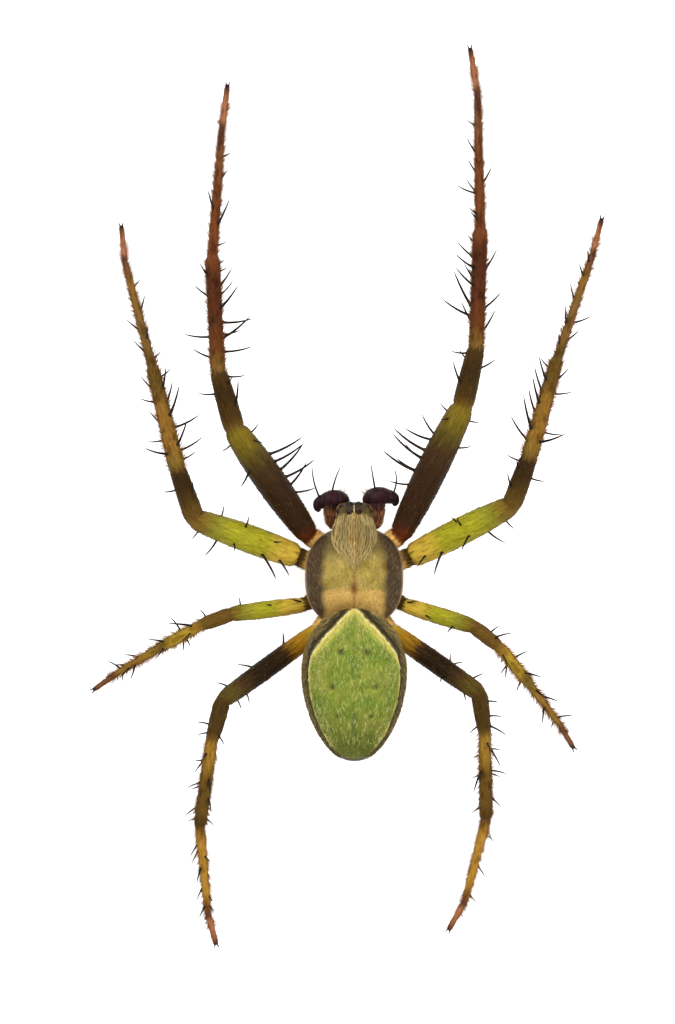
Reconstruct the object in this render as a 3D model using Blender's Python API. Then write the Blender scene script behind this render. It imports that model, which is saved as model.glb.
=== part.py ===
# Green orb weaver, an adult male spider standing still, at life size.
# Metres, +Z up. The head looks towards -Y and the animal's left side is +X.
# The floor is z = 0, and the origin lies on it under the middle of the leg span.
# Body dimensions are given with y = 0 at the widest place of the carapace.

import math

import bmesh
import bpy
import numpy as np
from mathutils import Matrix

mm = 0.001

# Carapace: a narrow head in front of a round thorax, seen from above
head_front_y = -2.72 * mm
head_front_half_width = 0.60 * mm
head_rear_half_width = 0.74 * mm
head_rear_y = -1.15 * mm
head_height = 0.80 * mm
head_brow_length = 0.60 * mm
head_corner_length = 0.30 * mm
thorax_y = -0.10 * mm
thorax_half_width = 1.72 * mm
thorax_half_length = 1.72 * mm
thorax_power = 2.5
thorax_height = 0.95 * mm
carapace_rim_z = 2.05 * mm
carapace_under_depth = 0.12 * mm
fovea_y = 0.35 * mm
fovea_depth = 0.10 * mm

# Underside: sternum, lip and the two jaw plates beside it
sternum_centre = np.array((0.0, 0.05, 1.72)) * mm
sternum_size = np.array((0.80, 1.32, 0.50)) * mm
lip_centre = np.array((0.0, -1.36, 1.52)) * mm
lip_size = np.array((0.26, 0.26, 0.22)) * mm
jaw_plate_centre = np.array((0.28, -1.62, 1.60)) * mm
jaw_plate_size = np.array((0.22, 0.34, 0.40)) * mm

# Abdomen: a pointed oval, widest at two fifths of its length
abdomen_front_y = 0.98 * mm
abdomen_length = 5.30 * mm
abdomen_half_width = 1.81 * mm
abdomen_half_depth = 1.42 * mm
abdomen_front_z = 3.12 * mm
abdomen_rear_z = 2.78 * mm
abdomen_front_power = 0.40
abdomen_rear_power = 0.576
abdomen_front_lean = 0.90

# Waist and spinnerets
pedicel_start = np.array((0.0, 1.50, 1.66)) * mm
pedicel_end = np.array((0.0, 1.93, 2.00)) * mm
pedicel_radius = 0.22 * mm
spinneret_y = 5.42 * mm
spinneret_base_size = np.array((0.42, 0.36, 0.14)) * mm
spinneret_length = 0.46 * mm
spinneret_radius = 0.17 * mm

# Jaws
chelicera_top = np.array((0.235, -2.20, 1.86)) * mm
chelicera_bottom = np.array((0.225, -2.30, 1.02)) * mm
chelicera_half_width = 0.195 * mm
chelicera_half_depth = 0.27 * mm
fang_radius = 0.10 * mm
fang_points = np.array(((0.24, -2.28, 1.10), (0.22, -2.18, 0.84), (0.07, -2.08, 0.80))) * mm

# Palps: a short stalk and the big bulb of the male
palp_radius = 0.20 * mm
palp_cup_radius = 0.28 * mm
palp_points = np.array(((0.76, -1.84, 1.48), (0.88, -2.10, 1.58), (0.86, -2.50, 1.70))) * mm
palp_bulb_size = np.array((0.60, 0.32, 0.38)) * mm
palp_hook_size = np.array((0.17, 0.24, 0.20)) * mm
palp_bulb_centre = {"left": (0.77, -2.90, 1.72), "right": (0.88, -2.95, 1.72)}
palp_bulb_turn = {"left": 4.0, "right": -6.0}
palp_bristle_length = 0.90 * mm

# Eyes: place on the head from above, and radius
eyes = {
    "median_front": (0.150 * mm, -2.655 * mm, 0.135 * mm),
    "median_rear": (0.155 * mm, -2.390 * mm, 0.125 * mm),
    "side_front": (0.450 * mm, -2.580 * mm, 0.100 * mm),
    "side_rear": (0.560 * mm, -2.400 * mm, 0.100 * mm),
}
eye_sunk_share = 0.35
eye_gap = 0.03 * mm

# Legs: the outer end of the trochanter, and the segment lengths from femur to tarsus
leg_base = {
    1: np.array((1.60, -1.57, 1.70)) * mm,
    2: np.array((2.03, -0.84, 1.65)) * mm,
    3: np.array((1.73, 0.87, 1.65)) * mm,
    4: np.array((1.27, 1.78, 1.70)) * mm,
}
leg_lengths = {
    1: (5.10, 2.14, 4.20, 4.98, 1.98),
    2: (4.50, 1.87, 3.89, 4.24, 1.71),
    3: (2.86, 1.15, 2.02, 2.14, 1.31),
    4: (4.33, 1.50, 3.17, 3.33, 1.52),
}
# Inner end of each coxa: its place along the sternum's edge, and its height
coxa_inner_y = {1: -0.93 * mm, 2: -0.36 * mm, 3: 0.36 * mm, 4: 0.96 * mm}
coxa_inner_z = 1.55 * mm
# The pose: each segment's heading in degrees, from straight ahead outwards,
# and the height in millimetres of its far end
leg_pose = {
    (1, "left"): ((35, 16, 3, 356, 353), (4.20, 4.45, 3.15, 1.05, 0.12)),
    (1, "right"): ((26, 13, 2, 359, 351), (2.85, 3.15, 2.40, 0.95, 0.12)),
    (2, "left"): ((70, 19, 14, 15, 6), (4.15, 4.25, 2.95, 1.00, 0.12)),
    (2, "right"): ((63, 20, 16, 19, 15), (3.95, 4.35, 2.75, 0.85, 0.12)),
    (3, "left"): ((97, 110, 119, 121, 125), (2.90, 3.10, 2.00, 0.75, 0.12)),
    (3, "right"): ((107, 128, 141, 143, 149), (3.00, 3.05, 1.90, 0.75, 0.12)),
    (4, "left"): ((126, 165, 172, 185, 194), (3.10, 3.25, 2.20, 0.85, 0.12)),
    (4, "right"): ((125, 172, 179, 194, 209), (3.85, 3.40, 2.35, 0.85, 0.12)),
}
# Radius in millimetres at the near end, the middle and the far end of each segment
leg_radii = {
    1: {"coxa": (0.28, 0.33, 0.37), "femur": (0.38, 0.54, 0.41), "patella": (0.37, 0.36, 0.29),
        "tibia": (0.27, 0.25, 0.26), "metatarsus": (0.25, 0.25, 0.25), "tarsus": (0.25, 0.25, 0.17)},
    2: {"coxa": (0.26, 0.31, 0.36), "femur": (0.42, 0.49, 0.36), "patella": (0.36, 0.35, 0.30),
        "tibia": (0.30, 0.26, 0.25), "metatarsus": (0.25, 0.25, 0.25), "tarsus": (0.25, 0.25, 0.17)},
    3: {"coxa": (0.25, 0.27, 0.27), "femur": (0.25, 0.30, 0.27), "patella": (0.27, 0.27, 0.25),
        "tibia": (0.25, 0.25, 0.25), "metatarsus": (0.25, 0.25, 0.25), "tarsus": (0.25, 0.24, 0.17)},
    4: {"coxa": (0.25, 0.29, 0.30), "femur": (0.30, 0.36, 0.30), "patella": (0.30, 0.29, 0.25),
        "tibia": (0.25, 0.25, 0.25), "metatarsus": (0.25, 0.25, 0.25), "tarsus": (0.25, 0.25, 0.17)},
}
joint_gap = 0.12 * mm
coxa_clearance = 0.16 * mm
leg_sides = 10
sole_height = 0.10 * mm
tarsus_dip = 0.30 * mm

# Spines of each leg: place (1 at the femur's base, 2 at the knee, and so on), angle round the segment
# (0 is up, 90 is the front side), length in millimetres, and lean towards the foot in degrees
leg_spines = {
    (1, "left"): (
        (1.34, 84, 0.74, -23), (1.41, 84, 1.07, 25), (1.47, 97, 1.27, -8), (1.54, 97, 1.29, 12),
        (1.55, 84, 0.83, 17), (1.63, 84, 1.25, 0), (1.69, 97, 1.42, -12), (1.72, -48, 0.85, -4),
        (1.89, 48, 0.38, -31), (1.92, 84, 0.45, 20), (1.93, -84, 0.40, 3), (2.40, 48, 1.02, 62),
        (2.66, -97, 0.62, 18), (2.78, 41, 0.46, 33), (2.88, 84, 0.62, -11), (3.13, -97, 0.77, 32),
        (3.17, 84, 1.04, 6), (3.29, 84, 1.28, 36), (3.31, -97, 0.96, 12), (3.32, 84, 0.66, 10),
        (3.43, 97, 1.13, 7), (3.54, 52, 1.10, 37), (3.67, -97, 0.68, 45), (3.67, 84, 0.67, 46),
        (3.75, 84, 0.80, 55), (3.83, -50, 0.57, 50), (3.88, 97, 0.33, 27), (3.94, 84, 0.27, 38),
        (4.10, 97, 0.37, 31), (4.25, 48, 1.05, 62), (4.38, -48, 0.68, 62), (4.62, 84, 0.46, 62),
        (4.79, 97, 0.38, 38),
    ),
    (2, "left"): (
        (1.18, -48, 0.68, -35), (1.30, 25, 0.34, -35), (1.35, -48, 1.07, -30), (1.58, 48, 0.61, 26),
        (1.63, -44, 0.41, 8), (1.75, -84, 0.77, 24), (1.77, 97, 0.39, 6), (1.94, -84, 0.39, 27),
        (2.49, 45, 0.43, 62), (2.63, -84, 0.48, 12), (3.07, 84, 0.54, 17), (3.14, -51, 1.01, 13),
        (3.16, 84, 0.92, 16), (3.20, 48, 0.99, 41), (3.29, -84, 0.57, 8), (3.39, 97, 1.02, 16),
        (3.48, -84, 0.53, 61), (3.49, 48, 1.17, 46), (3.65, 84, 0.75, 62), (3.67, -97, 0.55, 31),
        (3.76, 48, 0.82, 58), (3.81, -84, 0.57, 62), (3.89, 97, 0.46, 29), (4.08, 97, 0.36, 32),
        (4.16, -84, 0.61, 62), (4.25, 30, 0.50, 60), (4.37, -97, 0.67, 58), (4.54, 84, 0.58, 62),
        (4.77, 97, 0.37, 41),
    ),
    (1, "right"): (
        (1.35, 84, 0.72, -15), (1.45, 97, 1.41, 5), (1.46, 84, 0.84, 8), (1.55, 84, 0.79, 18),
        (1.55, 97, 1.37, 13), (1.61, 97, 1.41, 8), (1.70, 84, 1.04, -1), (1.73, -84, 0.51, 34),
        (1.74, 97, 0.86, 32), (1.90, 38, 0.46, -10), (1.93, -97, 0.39, 17), (1.93, 84, 0.40, 24),
        (2.39, 48, 0.99, 52), (2.69, -97, 0.62, 43), (2.80, 97, 0.34, 40), (2.88, 84, 0.57, -5),
        (3.15, -84, 0.85, 62), (3.23, 84, 0.78, 62), (3.27, 97, 1.23, 30), (3.34, -97, 0.86, 46),
        (3.35, 84, 1.45, 62), (3.52, 48, 1.04, 30), (3.58, 52, 0.67, 47), (3.67, -84, 0.84, 62),
        (3.67, 48, 1.00, 21), (3.77, 97, 0.82, 44), (3.90, 84, 0.33, 46), (4.07, 46, 0.42, 37),
        (4.11, 45, 0.48, 22), (4.27, 97, 0.77, 27), (4.28, 84, 0.58, 56), (4.35, -97, 0.70, 62),
        (4.43, 97, 0.55, 62), (4.57, 84, 0.64, 62), (4.77, 84, 0.37, 32),
    ),
    (2, "right"): (
        (1.16, -27, 0.58, -28), (1.30, -48, 0.93, -27), (1.54, 49, 0.34, -1), (1.57, 27, 0.67, 28),
        (1.59, -35, 0.69, -24), (1.70, -97, 0.79, 30), (1.90, -84, 0.47, 24), (2.36, 48, 0.65, 51),
        (2.62, -84, 0.53, 9), (2.72, 45, 0.42, 53), (2.86, 84, 0.49, 7), (3.14, -50, 1.09, 16),
        (3.15, 84, 1.04, 41), (3.24, 48, 1.26, 49), (3.27, -97, 0.66, 12), (3.44, 97, 0.96, 62),
        (3.51, 48, 1.00, 48), (3.66, -97, 0.69, 27), (3.66, 84, 0.94, 59), (3.75, 48, 0.91, 44),
        (3.81, -84, 0.60, 62), (3.90, 97, 0.46, 38), (4.12, 47, 0.35, 62), (4.20, -97, 0.64, 62),
        (4.33, 51, 0.65, 62), (4.36, -84, 0.74, 41), (4.58, 97, 0.67, 62), (4.80, 40, 0.50, 27),
        (4.94, 25, 0.46, 26),
    ),
    (3, "left"): (
        (1.09, 30, 0.50, 60), (1.50, 27, 0.25, 62), (1.87, 84, 0.31, 8), (2.77, 97, 0.34, 18),
        (3.13, 48, 0.87, 41), (3.22, -25, 0.38, 58), (3.39, -84, 0.32, 2), (3.43, 97, 0.62, 14),
        (3.48, -97, 0.47, 39), (3.80, 48, 0.59, 38), (3.87, -30, 0.50, 38), (4.45, 97, 0.62, 57),
        (4.56, -47, 0.56, 28), (4.69, -30, 0.50, 60), (4.75, 84, 0.42, 62), (4.88, -84, 0.31, 38),
        (4.88, 97, 0.60, 38),
    ),
    (3, "right"): (
        (1.09, 30, 0.50, 60), (1.39, -25, 0.35, 60), (1.77, -51, 0.37, -5), (2.54, 97, 0.39, 17),
        (2.77, 45, 0.45, 20), (2.77, 97, 0.58, 38), (3.13, -25, 0.42, 62), (3.39, 84, 0.54, 11),
        (3.41, -84, 0.42, 13), (3.42, -97, 0.58, 52), (3.74, 48, 0.64, 38), (3.87, -97, 0.46, 38),
        (4.17, 25, 0.54, 53), (4.38, 97, 0.69, 60), (4.55, -49, 0.58, 28), (4.88, -84, 0.28, 39),
        (4.88, 97, 0.62, 38),
    ),
    (4, "left"): (
        (1.31, 84, 0.46, -34), (1.63, 97, 0.56, 44), (1.80, -97, 0.38, 20), (1.90, -84, 0.38, 17),
        (1.90, 84, 0.44, 38), (2.62, 97, 0.44, 6), (2.83, -50, 0.51, 38), (2.83, 84, 0.37, 28),
        (3.13, 35, 0.43, 47), (3.23, 84, 0.34, 11), (3.24, 84, 0.56, 62), (3.42, -25, 0.53, 60),
        (3.50, 97, 0.54, 33), (3.54, 84, 0.34, 27), (3.64, -48, 0.54, 61), (3.79, 97, 0.58, 48),
        (3.90, -84, 0.41, 38), (3.92, 84, 0.29, 28), (4.21, 84, 0.58, 56), (4.29, 97, 0.58, 61),
        (4.34, -35, 0.35, 19), (4.47, 48, 0.57, 62), (4.72, 84, 0.52, 62), (4.81, -51, 0.23, 42),
        (4.92, -53, 0.28, 45), (4.92, 41, 0.50, 38),
    ),
    (4, "right"): (
        (1.62, 84, 0.29, -35), (1.65, 97, 0.36, 45), (1.67, -44, 0.40, 26), (1.87, 97, 0.45, 32),
        (1.89, -84, 0.33, 55), (2.23, 97, 0.41, 18), (2.58, 84, 0.46, 11), (2.81, -97, 0.40, 38),
        (2.83, 84, 0.69, 38), (3.09, 25, 0.39, 47), (3.18, 84, 0.76, 62), (3.18, 97, 0.38, 12),
        (3.25, -97, 0.28, 27), (3.42, -48, 0.85, 62), (3.43, 84, 0.59, 12), (3.47, 97, 0.37, 26),
        (3.48, -84, 0.30, 23), (3.75, 84, 0.51, 47), (3.86, -97, 0.43, 41), (4.14, 84, 0.28, 40),
        (4.18, 97, 0.44, 36), (4.57, 97, 0.52, 46), (4.92, 84, 0.39, 38),
    ),
}
spine_root_radius = 0.13 * mm
spine_root_growth = 0.07
spine_bend = 0.22
segment_number = {"femur": 1, "patella": 2, "tibia": 3, "metatarsus": 4}

# Colours, as linear red, green and blue
colours = {
    "carapace": (0.30, 0.21, 0.08), "abdomen": (0.19, 0.34, 0.05), "pedicel": (0.20, 0.12, 0.05),
    "spinneret": (0.09, 0.05, 0.03), "jaw": (0.14, 0.05, 0.02), "palp": (0.20, 0.06, 0.03),
    "bulb": (0.05, 0.02, 0.03), "eye": (0.01, 0.01, 0.01), "coxa": (0.55, 0.27, 0.07),
    "dark_femur": (0.06, 0.03, 0.015), "green_femur": (0.25, 0.42, 0.05), "patella": (0.11, 0.05, 0.02),
    "tibia": (0.26, 0.09, 0.03), "foot": (0.36, 0.16, 0.04),
}
shell_roughness = 0.45
eye_roughness = 0.08

for old in list(bpy.data.objects):
    bpy.data.objects.remove(old, do_unlink=True)

model = bpy.data.collections.new("green_orb_weaver")
bpy.context.scene.collection.children.link(model)
root = bpy.data.objects.new("spider_origin", None)
model.objects.link(root)


# Helpers

def unit(vector):
    """The vector divided by its length."""
    return np.asarray(vector, dtype=float) / np.linalg.norm(vector)


def mirrored(point, side):
    """The point as measured on the left, or its mirror image in x for the right."""
    sign = 1.0 if side == "left" else -1.0
    return np.array((sign * point[0], point[1], point[2]), dtype=float)


def object_from_bmesh(name, bm):
    """Closes the bmesh into an object whose faces point outwards."""
    bmesh.ops.recalc_face_normals(bm, faces=bm.faces[:])
    mesh = bpy.data.meshes.new(name)
    bm.to_mesh(mesh)
    bm.free()
    return bpy.data.objects.new(name, mesh)


def loft(name, rings, first_tip=None, last_tip=None):
    """A closed body through rings of equal count; an end is a flat cap, or a fan to its tip."""
    bm = bmesh.new()
    loops = [[bm.verts.new(point) for point in ring] for ring in rings]
    for near, far in zip(loops, loops[1:]):
        for i in range(len(near)):
            j = (i + 1) % len(near)
            bm.faces.new((near[i], near[j], far[j], far[i]))
    for loop, tip in ((loops[0], first_tip), (loops[-1], last_tip)):
        if tip is None:
            bm.faces.new(loop)
            continue
        apex = bm.verts.new(tip)
        for i in range(len(loop)):
            bm.faces.new((loop[i], loop[(i + 1) % len(loop)], apex))
    return object_from_bmesh(name, bm)


def ellipsoid(name, centre, size, segments=16, turn=0.0, tilt=0.0):
    """A sphere primitive stretched to three half-sizes, tilted about x and turned about z."""
    bm = bmesh.new()
    bmesh.ops.create_uvsphere(bm, u_segments=segments, v_segments=segments // 2, radius=1.0)
    spin = Matrix.Rotation(math.radians(turn), 4, "Z") @ Matrix.Rotation(math.radians(tilt), 4, "X")
    place = Matrix.Translation(centre) @ spin @ Matrix.Diagonal((*size, 1.0))
    bmesh.ops.transform(bm, matrix=place, verts=bm.verts)
    return object_from_bmesh(name, bm)


def largest_shell(mesh):
    """Keeps only the largest closed surface of a mesh."""
    bm = bmesh.new()
    bm.from_mesh(mesh)
    bmesh.ops.remove_doubles(bm, verts=bm.verts[:], dist=1e-7)
    seen = set()
    shells = []
    for start in bm.verts:
        if start in seen:
            continue
        shell = [start]
        seen.add(start)
        for vert in shell:
            for edge in vert.link_edges:
                other = edge.other_vert(vert)
                if other not in seen:
                    seen.add(other)
                    shell.append(other)
        shells.append(shell)
    shells.sort(key=len, reverse=True)
    for shell in shells[1:]:
        bmesh.ops.delete(bm, geom=shell, context="VERTS")
    bmesh.ops.recalc_face_normals(bm, faces=bm.faces[:])
    bm.to_mesh(mesh)
    bm.free()


def combine(body, pieces, operation):
    """Joins the pieces to the body, or cuts them from it, in one Boolean on a collection."""
    group = bpy.data.collections.new(body.name + "_pieces")
    bpy.context.scene.collection.children.link(group)
    model.objects.link(body)
    for piece in pieces:
        group.objects.link(piece)
    boolean = body.modifiers.new("combine", "BOOLEAN")
    boolean.operand_type = "COLLECTION"
    boolean.collection = group
    boolean.operation = operation
    boolean.solver = "EXACT"
    graph = bpy.context.evaluated_depsgraph_get()
    joined = bpy.data.meshes.new_from_object(body.evaluated_get(graph))
    body.modifiers.clear()
    body.data = joined
    for piece in pieces:
        bpy.data.objects.remove(piece, do_unlink=True)
    bpy.data.collections.remove(group)
    model.objects.unlink(body)
    largest_shell(body.data)
    return body


def finish(body, colour, roughness=shell_roughness):
    """Puts a finished node in the model, with its own material, on the common parent."""
    material = bpy.data.materials.new(body.name)
    material.use_nodes = True
    shader = material.node_tree.nodes["Principled BSDF"]
    shader.inputs["Base Color"].default_value = (*colours[colour], 1.0)
    shader.inputs["Roughness"].default_value = roughness
    shader.inputs["Metallic"].default_value = 0.0
    body.data.materials.clear()
    body.data.materials.append(material)
    body.data.shade_smooth()
    model.objects.link(body)
    body.parent = root
    return body


# Carapace and underside

def soft_max(a, b, sharpness=6.0):
    """The larger of two lengths, with a rounded change from one to the other."""
    return (a ** sharpness + b ** sharpness) ** (1.0 / sharpness)


def rounded_start(distance, length, power):
    """0 at the start, rising on a superellipse arc to 1 at the given length."""
    share = min(1.0, max(0.0, distance / length))
    return (1.0 - (1.0 - share) ** power) ** (1.0 / power)


def head_fade(y):
    """1 along the head, falling on an elliptic arc to 0 inside the thorax."""
    behind = max(0.0, (y - head_rear_y) / thorax_half_length)
    return math.sqrt(max(0.0, 1.0 - behind ** 2))


def carapace_half_width(y):
    """Half the width of the carapace at y: the head's straight sides blended into a full thorax."""
    along = (y - head_front_y) / (head_rear_y - head_front_y)
    head = head_front_half_width + (head_rear_half_width - head_front_half_width) * along
    head *= rounded_start(y - head_front_y, head_corner_length, 3.0) * head_fade(y)
    reach = max(0.0, 1.0 - (abs(y - thorax_y) / thorax_half_length) ** thorax_power)
    return soft_max(head, thorax_half_width * reach ** (1.0 / thorax_power))


def carapace_top(y):
    """Height of the midline above the rim at y, with a shallow dip at the fovea."""
    head = head_height * rounded_start(y - head_front_y, head_brow_length, 2.0) * head_fade(y)
    reach = max(0.0, 1.0 - ((y - thorax_y) / thorax_half_length) ** 2)
    dip = fovea_depth * math.exp(-((y - fovea_y) / (3.0 * fovea_depth)) ** 2)
    return soft_max(head, thorax_height * reach ** 0.75) - dip


def carapace_point(x, y):
    """The point of the carapace's upper surface over x, y."""
    share = min(0.999, abs(x) / carapace_half_width(y))
    return np.array((x, y, carapace_rim_z + carapace_top(y) * math.sqrt(1.0 - share ** 2)))


def make_cephalothorax():
    """The carapace as a loft of domes along y, fused with the sternum, lip and jaw plates."""
    rear_y = thorax_y + thorax_half_length
    rings = []
    steps = 20
    for i in range(1, steps):
        y = head_front_y + (rear_y - head_front_y) * (1.0 - math.cos(math.pi * i / steps)) / 2.0
        width = carapace_half_width(y)
        top = carapace_top(y)
        under = carapace_under_depth * min(1.0, width / head_front_half_width)
        ring = []
        for k in range(24):
            angle = 2.0 * math.pi * k / 24
            height = top if math.sin(angle) > 0.0 else under
            ring.append((width * math.cos(angle), y, carapace_rim_z + height * math.sin(angle)))
        rings.append(ring)
    front = (0.0, head_front_y, carapace_rim_z + 0.2 * head_height)
    body = loft("cephalothorax", rings, front, (0.0, rear_y, carapace_rim_z))
    pieces = [ellipsoid("sternum", sternum_centre, sternum_size, 20)]
    pieces.append(ellipsoid("lip", lip_centre, lip_size, 12))
    for side in ("left", "right"):
        pieces.append(ellipsoid("jaw_plate_" + side, mirrored(jaw_plate_centre, side), jaw_plate_size, 12))
    combine(body, pieces, "UNION")
    sockets = [ellipsoid("socket_" + name, centre, (radius + eye_gap,) * 3, 12)
               for name, centre, radius in eye_places()]
    combine(body, sockets, "DIFFERENCE")
    finish(body, "carapace")


# Eyes

def eye_places():
    """Name, centre and radius of the eight eyes, each sunk in the head along the surface's normal."""
    places = []
    step = 0.02 * mm
    for name, (x, y, radius) in eyes.items():
        for side in ("left", "right"):
            along_x = carapace_point(x + step, y) - carapace_point(x - step, y)
            along_y = carapace_point(x, y + step) - carapace_point(x, y - step)
            normal = unit(np.cross(along_x, along_y))
            centre = carapace_point(x, y) - normal * radius * eye_sunk_share
            places.append(("eye_" + name + "_" + side, mirrored(centre, side), radius))
    return places


def make_eyes():
    """Each eye is a small round bead in its own socket."""
    for name, centre, radius in eye_places():
        finish(ellipsoid(name, centre, (radius,) * 3, 12), "eye", eye_roughness)


# Abdomen, waist and spinnerets

def abdomen_share(t):
    """Size of the cross-section at share t of the length, 1 at the widest place."""
    widest = abdomen_front_power / (abdomen_front_power + abdomen_rear_power)
    return (t / widest) ** abdomen_front_power * ((1.0 - t) / (1.0 - widest)) ** abdomen_rear_power


def make_abdomen():
    """Ellipses along y whose size follows a power curve; the lower front leans back to the waist."""
    rings = []
    steps = 22
    for i in range(1, steps):
        t = (1.0 - math.cos(math.pi * i / steps)) / 2.0
        size = abdomen_share(t)
        middle_z = abdomen_front_z + (abdomen_rear_z - abdomen_front_z) * t
        ring = []
        for k in range(28):
            angle = 2.0 * math.pi * k / 28
            x = abdomen_half_width * size * math.cos(angle)
            rise = abdomen_half_depth * size * math.sin(angle)
            lowness = ((1.0 - math.sin(angle)) / 2.0) ** 2
            lean = abdomen_front_lean * (1.0 - t) ** 3 * abdomen_half_depth * size * lowness
            ring.append((x, abdomen_front_y + abdomen_length * t + lean, middle_z + rise))
        rings.append(ring)
    front = (0.0, abdomen_front_y, abdomen_front_z)
    rear = (0.0, abdomen_front_y + abdomen_length, abdomen_rear_z)
    finish(loft("abdomen", rings, front, rear), "abdomen")


def make_pedicel():
    """The narrow waist between the two body parts."""
    side = np.array((1.0, 0.0, 0.0))
    path = np.linspace(pedicel_start, pedicel_end, 3)
    finish(tube("pedicel", path, [pedicel_radius] * 3, side, 10), "pedicel")


def abdomen_underside(y):
    """Height of the abdomen's lower midline at y."""
    t = (y - abdomen_front_y) / abdomen_length
    middle_z = abdomen_front_z + (abdomen_rear_z - abdomen_front_z) * t
    return middle_z - abdomen_half_depth * abdomen_share(t)


def make_spinnerets():
    """Three pairs of short cones on one low mound, which lies along the abdomen's underside."""
    step = 0.1 * mm
    rise = abdomen_underside(spinneret_y + step) - abdomen_underside(spinneret_y - step)
    tilt = math.atan2(rise, 2.0 * step)
    along = np.array((0.0, math.cos(tilt), math.sin(tilt)))
    down = np.array((0.0, math.sin(tilt), -math.cos(tilt)))
    centre = np.array((0.0, spinneret_y, abdomen_underside(spinneret_y)))
    centre += down * (spinneret_base_size[2] + joint_gap / 2.0)
    body = ellipsoid("spinnerets", centre, spinneret_base_size, 14, 0.0, math.degrees(tilt))
    pieces = []
    for place, length_share in ((-0.55, 1.0), (0.05, 0.75), (0.55, 1.05)):
        for side in ("left", "right"):
            foot = centre + mirrored((0.20 * mm, 0.0, 0.0), side) + along * place * spinneret_base_size[1]
            aim = unit(down + along * (0.45 + 0.3 * place) + mirrored((0.10, 0.0, 0.0), side))
            pieces.append(thorn("spinneret", foot, aim, spinneret_length * length_share, spinneret_radius,
                                np.zeros(3), 8, 0.45))
    finish(combine(body, pieces, "UNION"), "spinneret")


# Tubes and spines

def ring_at(centre, tangent, side, radius, sides):
    """A circle of points round the path, starting at its upper side."""
    across = unit(side - tangent * np.dot(side, tangent))
    up = unit(np.cross(tangent, across))
    if up[2] < 0.0:
        up = -up
    angles = np.arange(sides) * 2.0 * math.pi / sides
    return centre + radius * (np.outer(np.cos(angles), up) + np.outer(np.sin(angles), across))


def slide_to_plane(ring, tangent, point, normal):
    """Moves ring points along the path until they lie in the given plane."""
    return ring - np.outer(((ring - point) @ normal) / np.dot(tangent, normal), tangent)


def tube(name, path, radii, side, sides, first_plane=None, last_plane=None, floor_z=None):
    """A tube of changing radius along a path; an end may be cut on a plane (point, normal)."""
    tangents = np.gradient(path, axis=0)
    rings = []
    for i, (centre, radius) in enumerate(zip(path, radii)):
        tangent = unit(tangents[i])
        ring = ring_at(centre, tangent, side, radius, sides)
        if i == 0 and first_plane is not None:
            ring = slide_to_plane(ring, tangent, *first_plane)
        if i == len(path) - 1 and last_plane is not None:
            ring = slide_to_plane(ring, tangent, *last_plane)
        if floor_z is not None:
            ring[:, 2] = np.maximum(ring[:, 2], floor_z)
        rings.append(ring)
    return loft(name, rings)


def thorn(name, root_point, aim, length, radius, bend, sides=4, tip_share=0.0):
    """A tapered spine: straight out of its root, then bent more and more by a share of its length."""
    side = np.cross(aim, (0.0, 0.0, 1.0))
    side = unit(side) if np.linalg.norm(side) > 1e-6 else np.array((1.0, 0.0, 0.0))
    middle = root_point + aim * length * 0.5 + bend * length * 0.25
    end = root_point + aim * length + bend * length
    rings = [ring_at(root_point, aim, side, radius, sides), ring_at(middle, aim, side, radius * 0.6, sides)]
    if tip_share > 0.0:
        rings.append(ring_at(end, aim, side, radius * tip_share, sides))
        return loft(name, rings)
    return loft(name, rings, None, end)


# Jaws and palps

def make_chelicera(side):
    """A stout upright oval under the head with its fang folded inwards."""
    top = mirrored(chelicera_top, side)
    bottom = mirrored(chelicera_bottom, side)
    rings = []
    for s, size in ((0.0, 0.85), (0.2, 0.98), (0.45, 1.0), (0.7, 0.9), (0.9, 0.7), (1.0, 0.45)):
        centre = top + (bottom - top) * s
        ring = []
        for k in range(14):
            angle = 2.0 * math.pi * k / 14
            ring.append((centre[0] + chelicera_half_width * size * math.cos(angle),
                         centre[1] + chelicera_half_depth * size * math.sin(angle), centre[2]))
        rings.append(ring)
    body = loft("chelicera_" + side, rings)
    path = np.array([mirrored(point, side) for point in fang_points])
    across = np.array((0.0, 1.0, 0.0))
    fang = tube("fang", path, (fang_radius, fang_radius * 0.8, fang_radius * 0.3), across, 6)
    finish(combine(body, [fang], "UNION"), "jaw")


def make_palp(side):
    """The stalk beside the head, with three long bristles, and the bulb in front of it."""
    path = np.array([mirrored(point, side) for point in palp_points])
    path = smooth_path(path, 7)
    across = mirrored((1.0, 0.0, 0.0), side)
    stalk = tube("palp_" + side, path, np.linspace(palp_radius, palp_cup_radius, 7), across, 10)
    bristles = []
    for share, outward in ((2, 0.9), (4, 0.6), (5, 0.25)):
        aim = mirrored(unit((outward, -0.75, 0.55)), side)
        bristles.append(thorn("bristle", path[share], aim, palp_bristle_length, palp_radius * 0.45,
                              np.array((0.0, -0.2, 0.1))))
    finish(combine(stalk, bristles, "UNION"), "palp")
    centre = mirrored(np.array(palp_bulb_centre[side]) * mm, side)
    turn = palp_bulb_turn[side] * (1.0 if side == "left" else -1.0)
    bulb = ellipsoid("palp_bulb_" + side, centre, palp_bulb_size, 16, turn)
    reach = math.radians(turn)
    outwards = np.array((math.cos(reach), math.sin(reach), 0.0)) * (1.0 if side == "left" else -1.0)
    hook_centre = centre + outwards * palp_bulb_size[0] * 0.80 + np.array((0.0, 0.12 * mm, 0.0))
    hook = ellipsoid("hook", hook_centre, palp_hook_size, 10, turn)
    finish(combine(bulb, [hook], "UNION"), "bulb")


def smooth_path(points, count):
    """Points along the quadratic curve that passes through three given points."""
    s = np.linspace(0.0, 1.0, count)[:, None]
    first = (1.0 - s) * (1.0 - 2.0 * s)
    middle = 4.0 * s * (1.0 - s)
    last = s * (2.0 * s - 1.0)
    return first * points[0] + middle * points[1] + last * points[2]


# Legs

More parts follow.
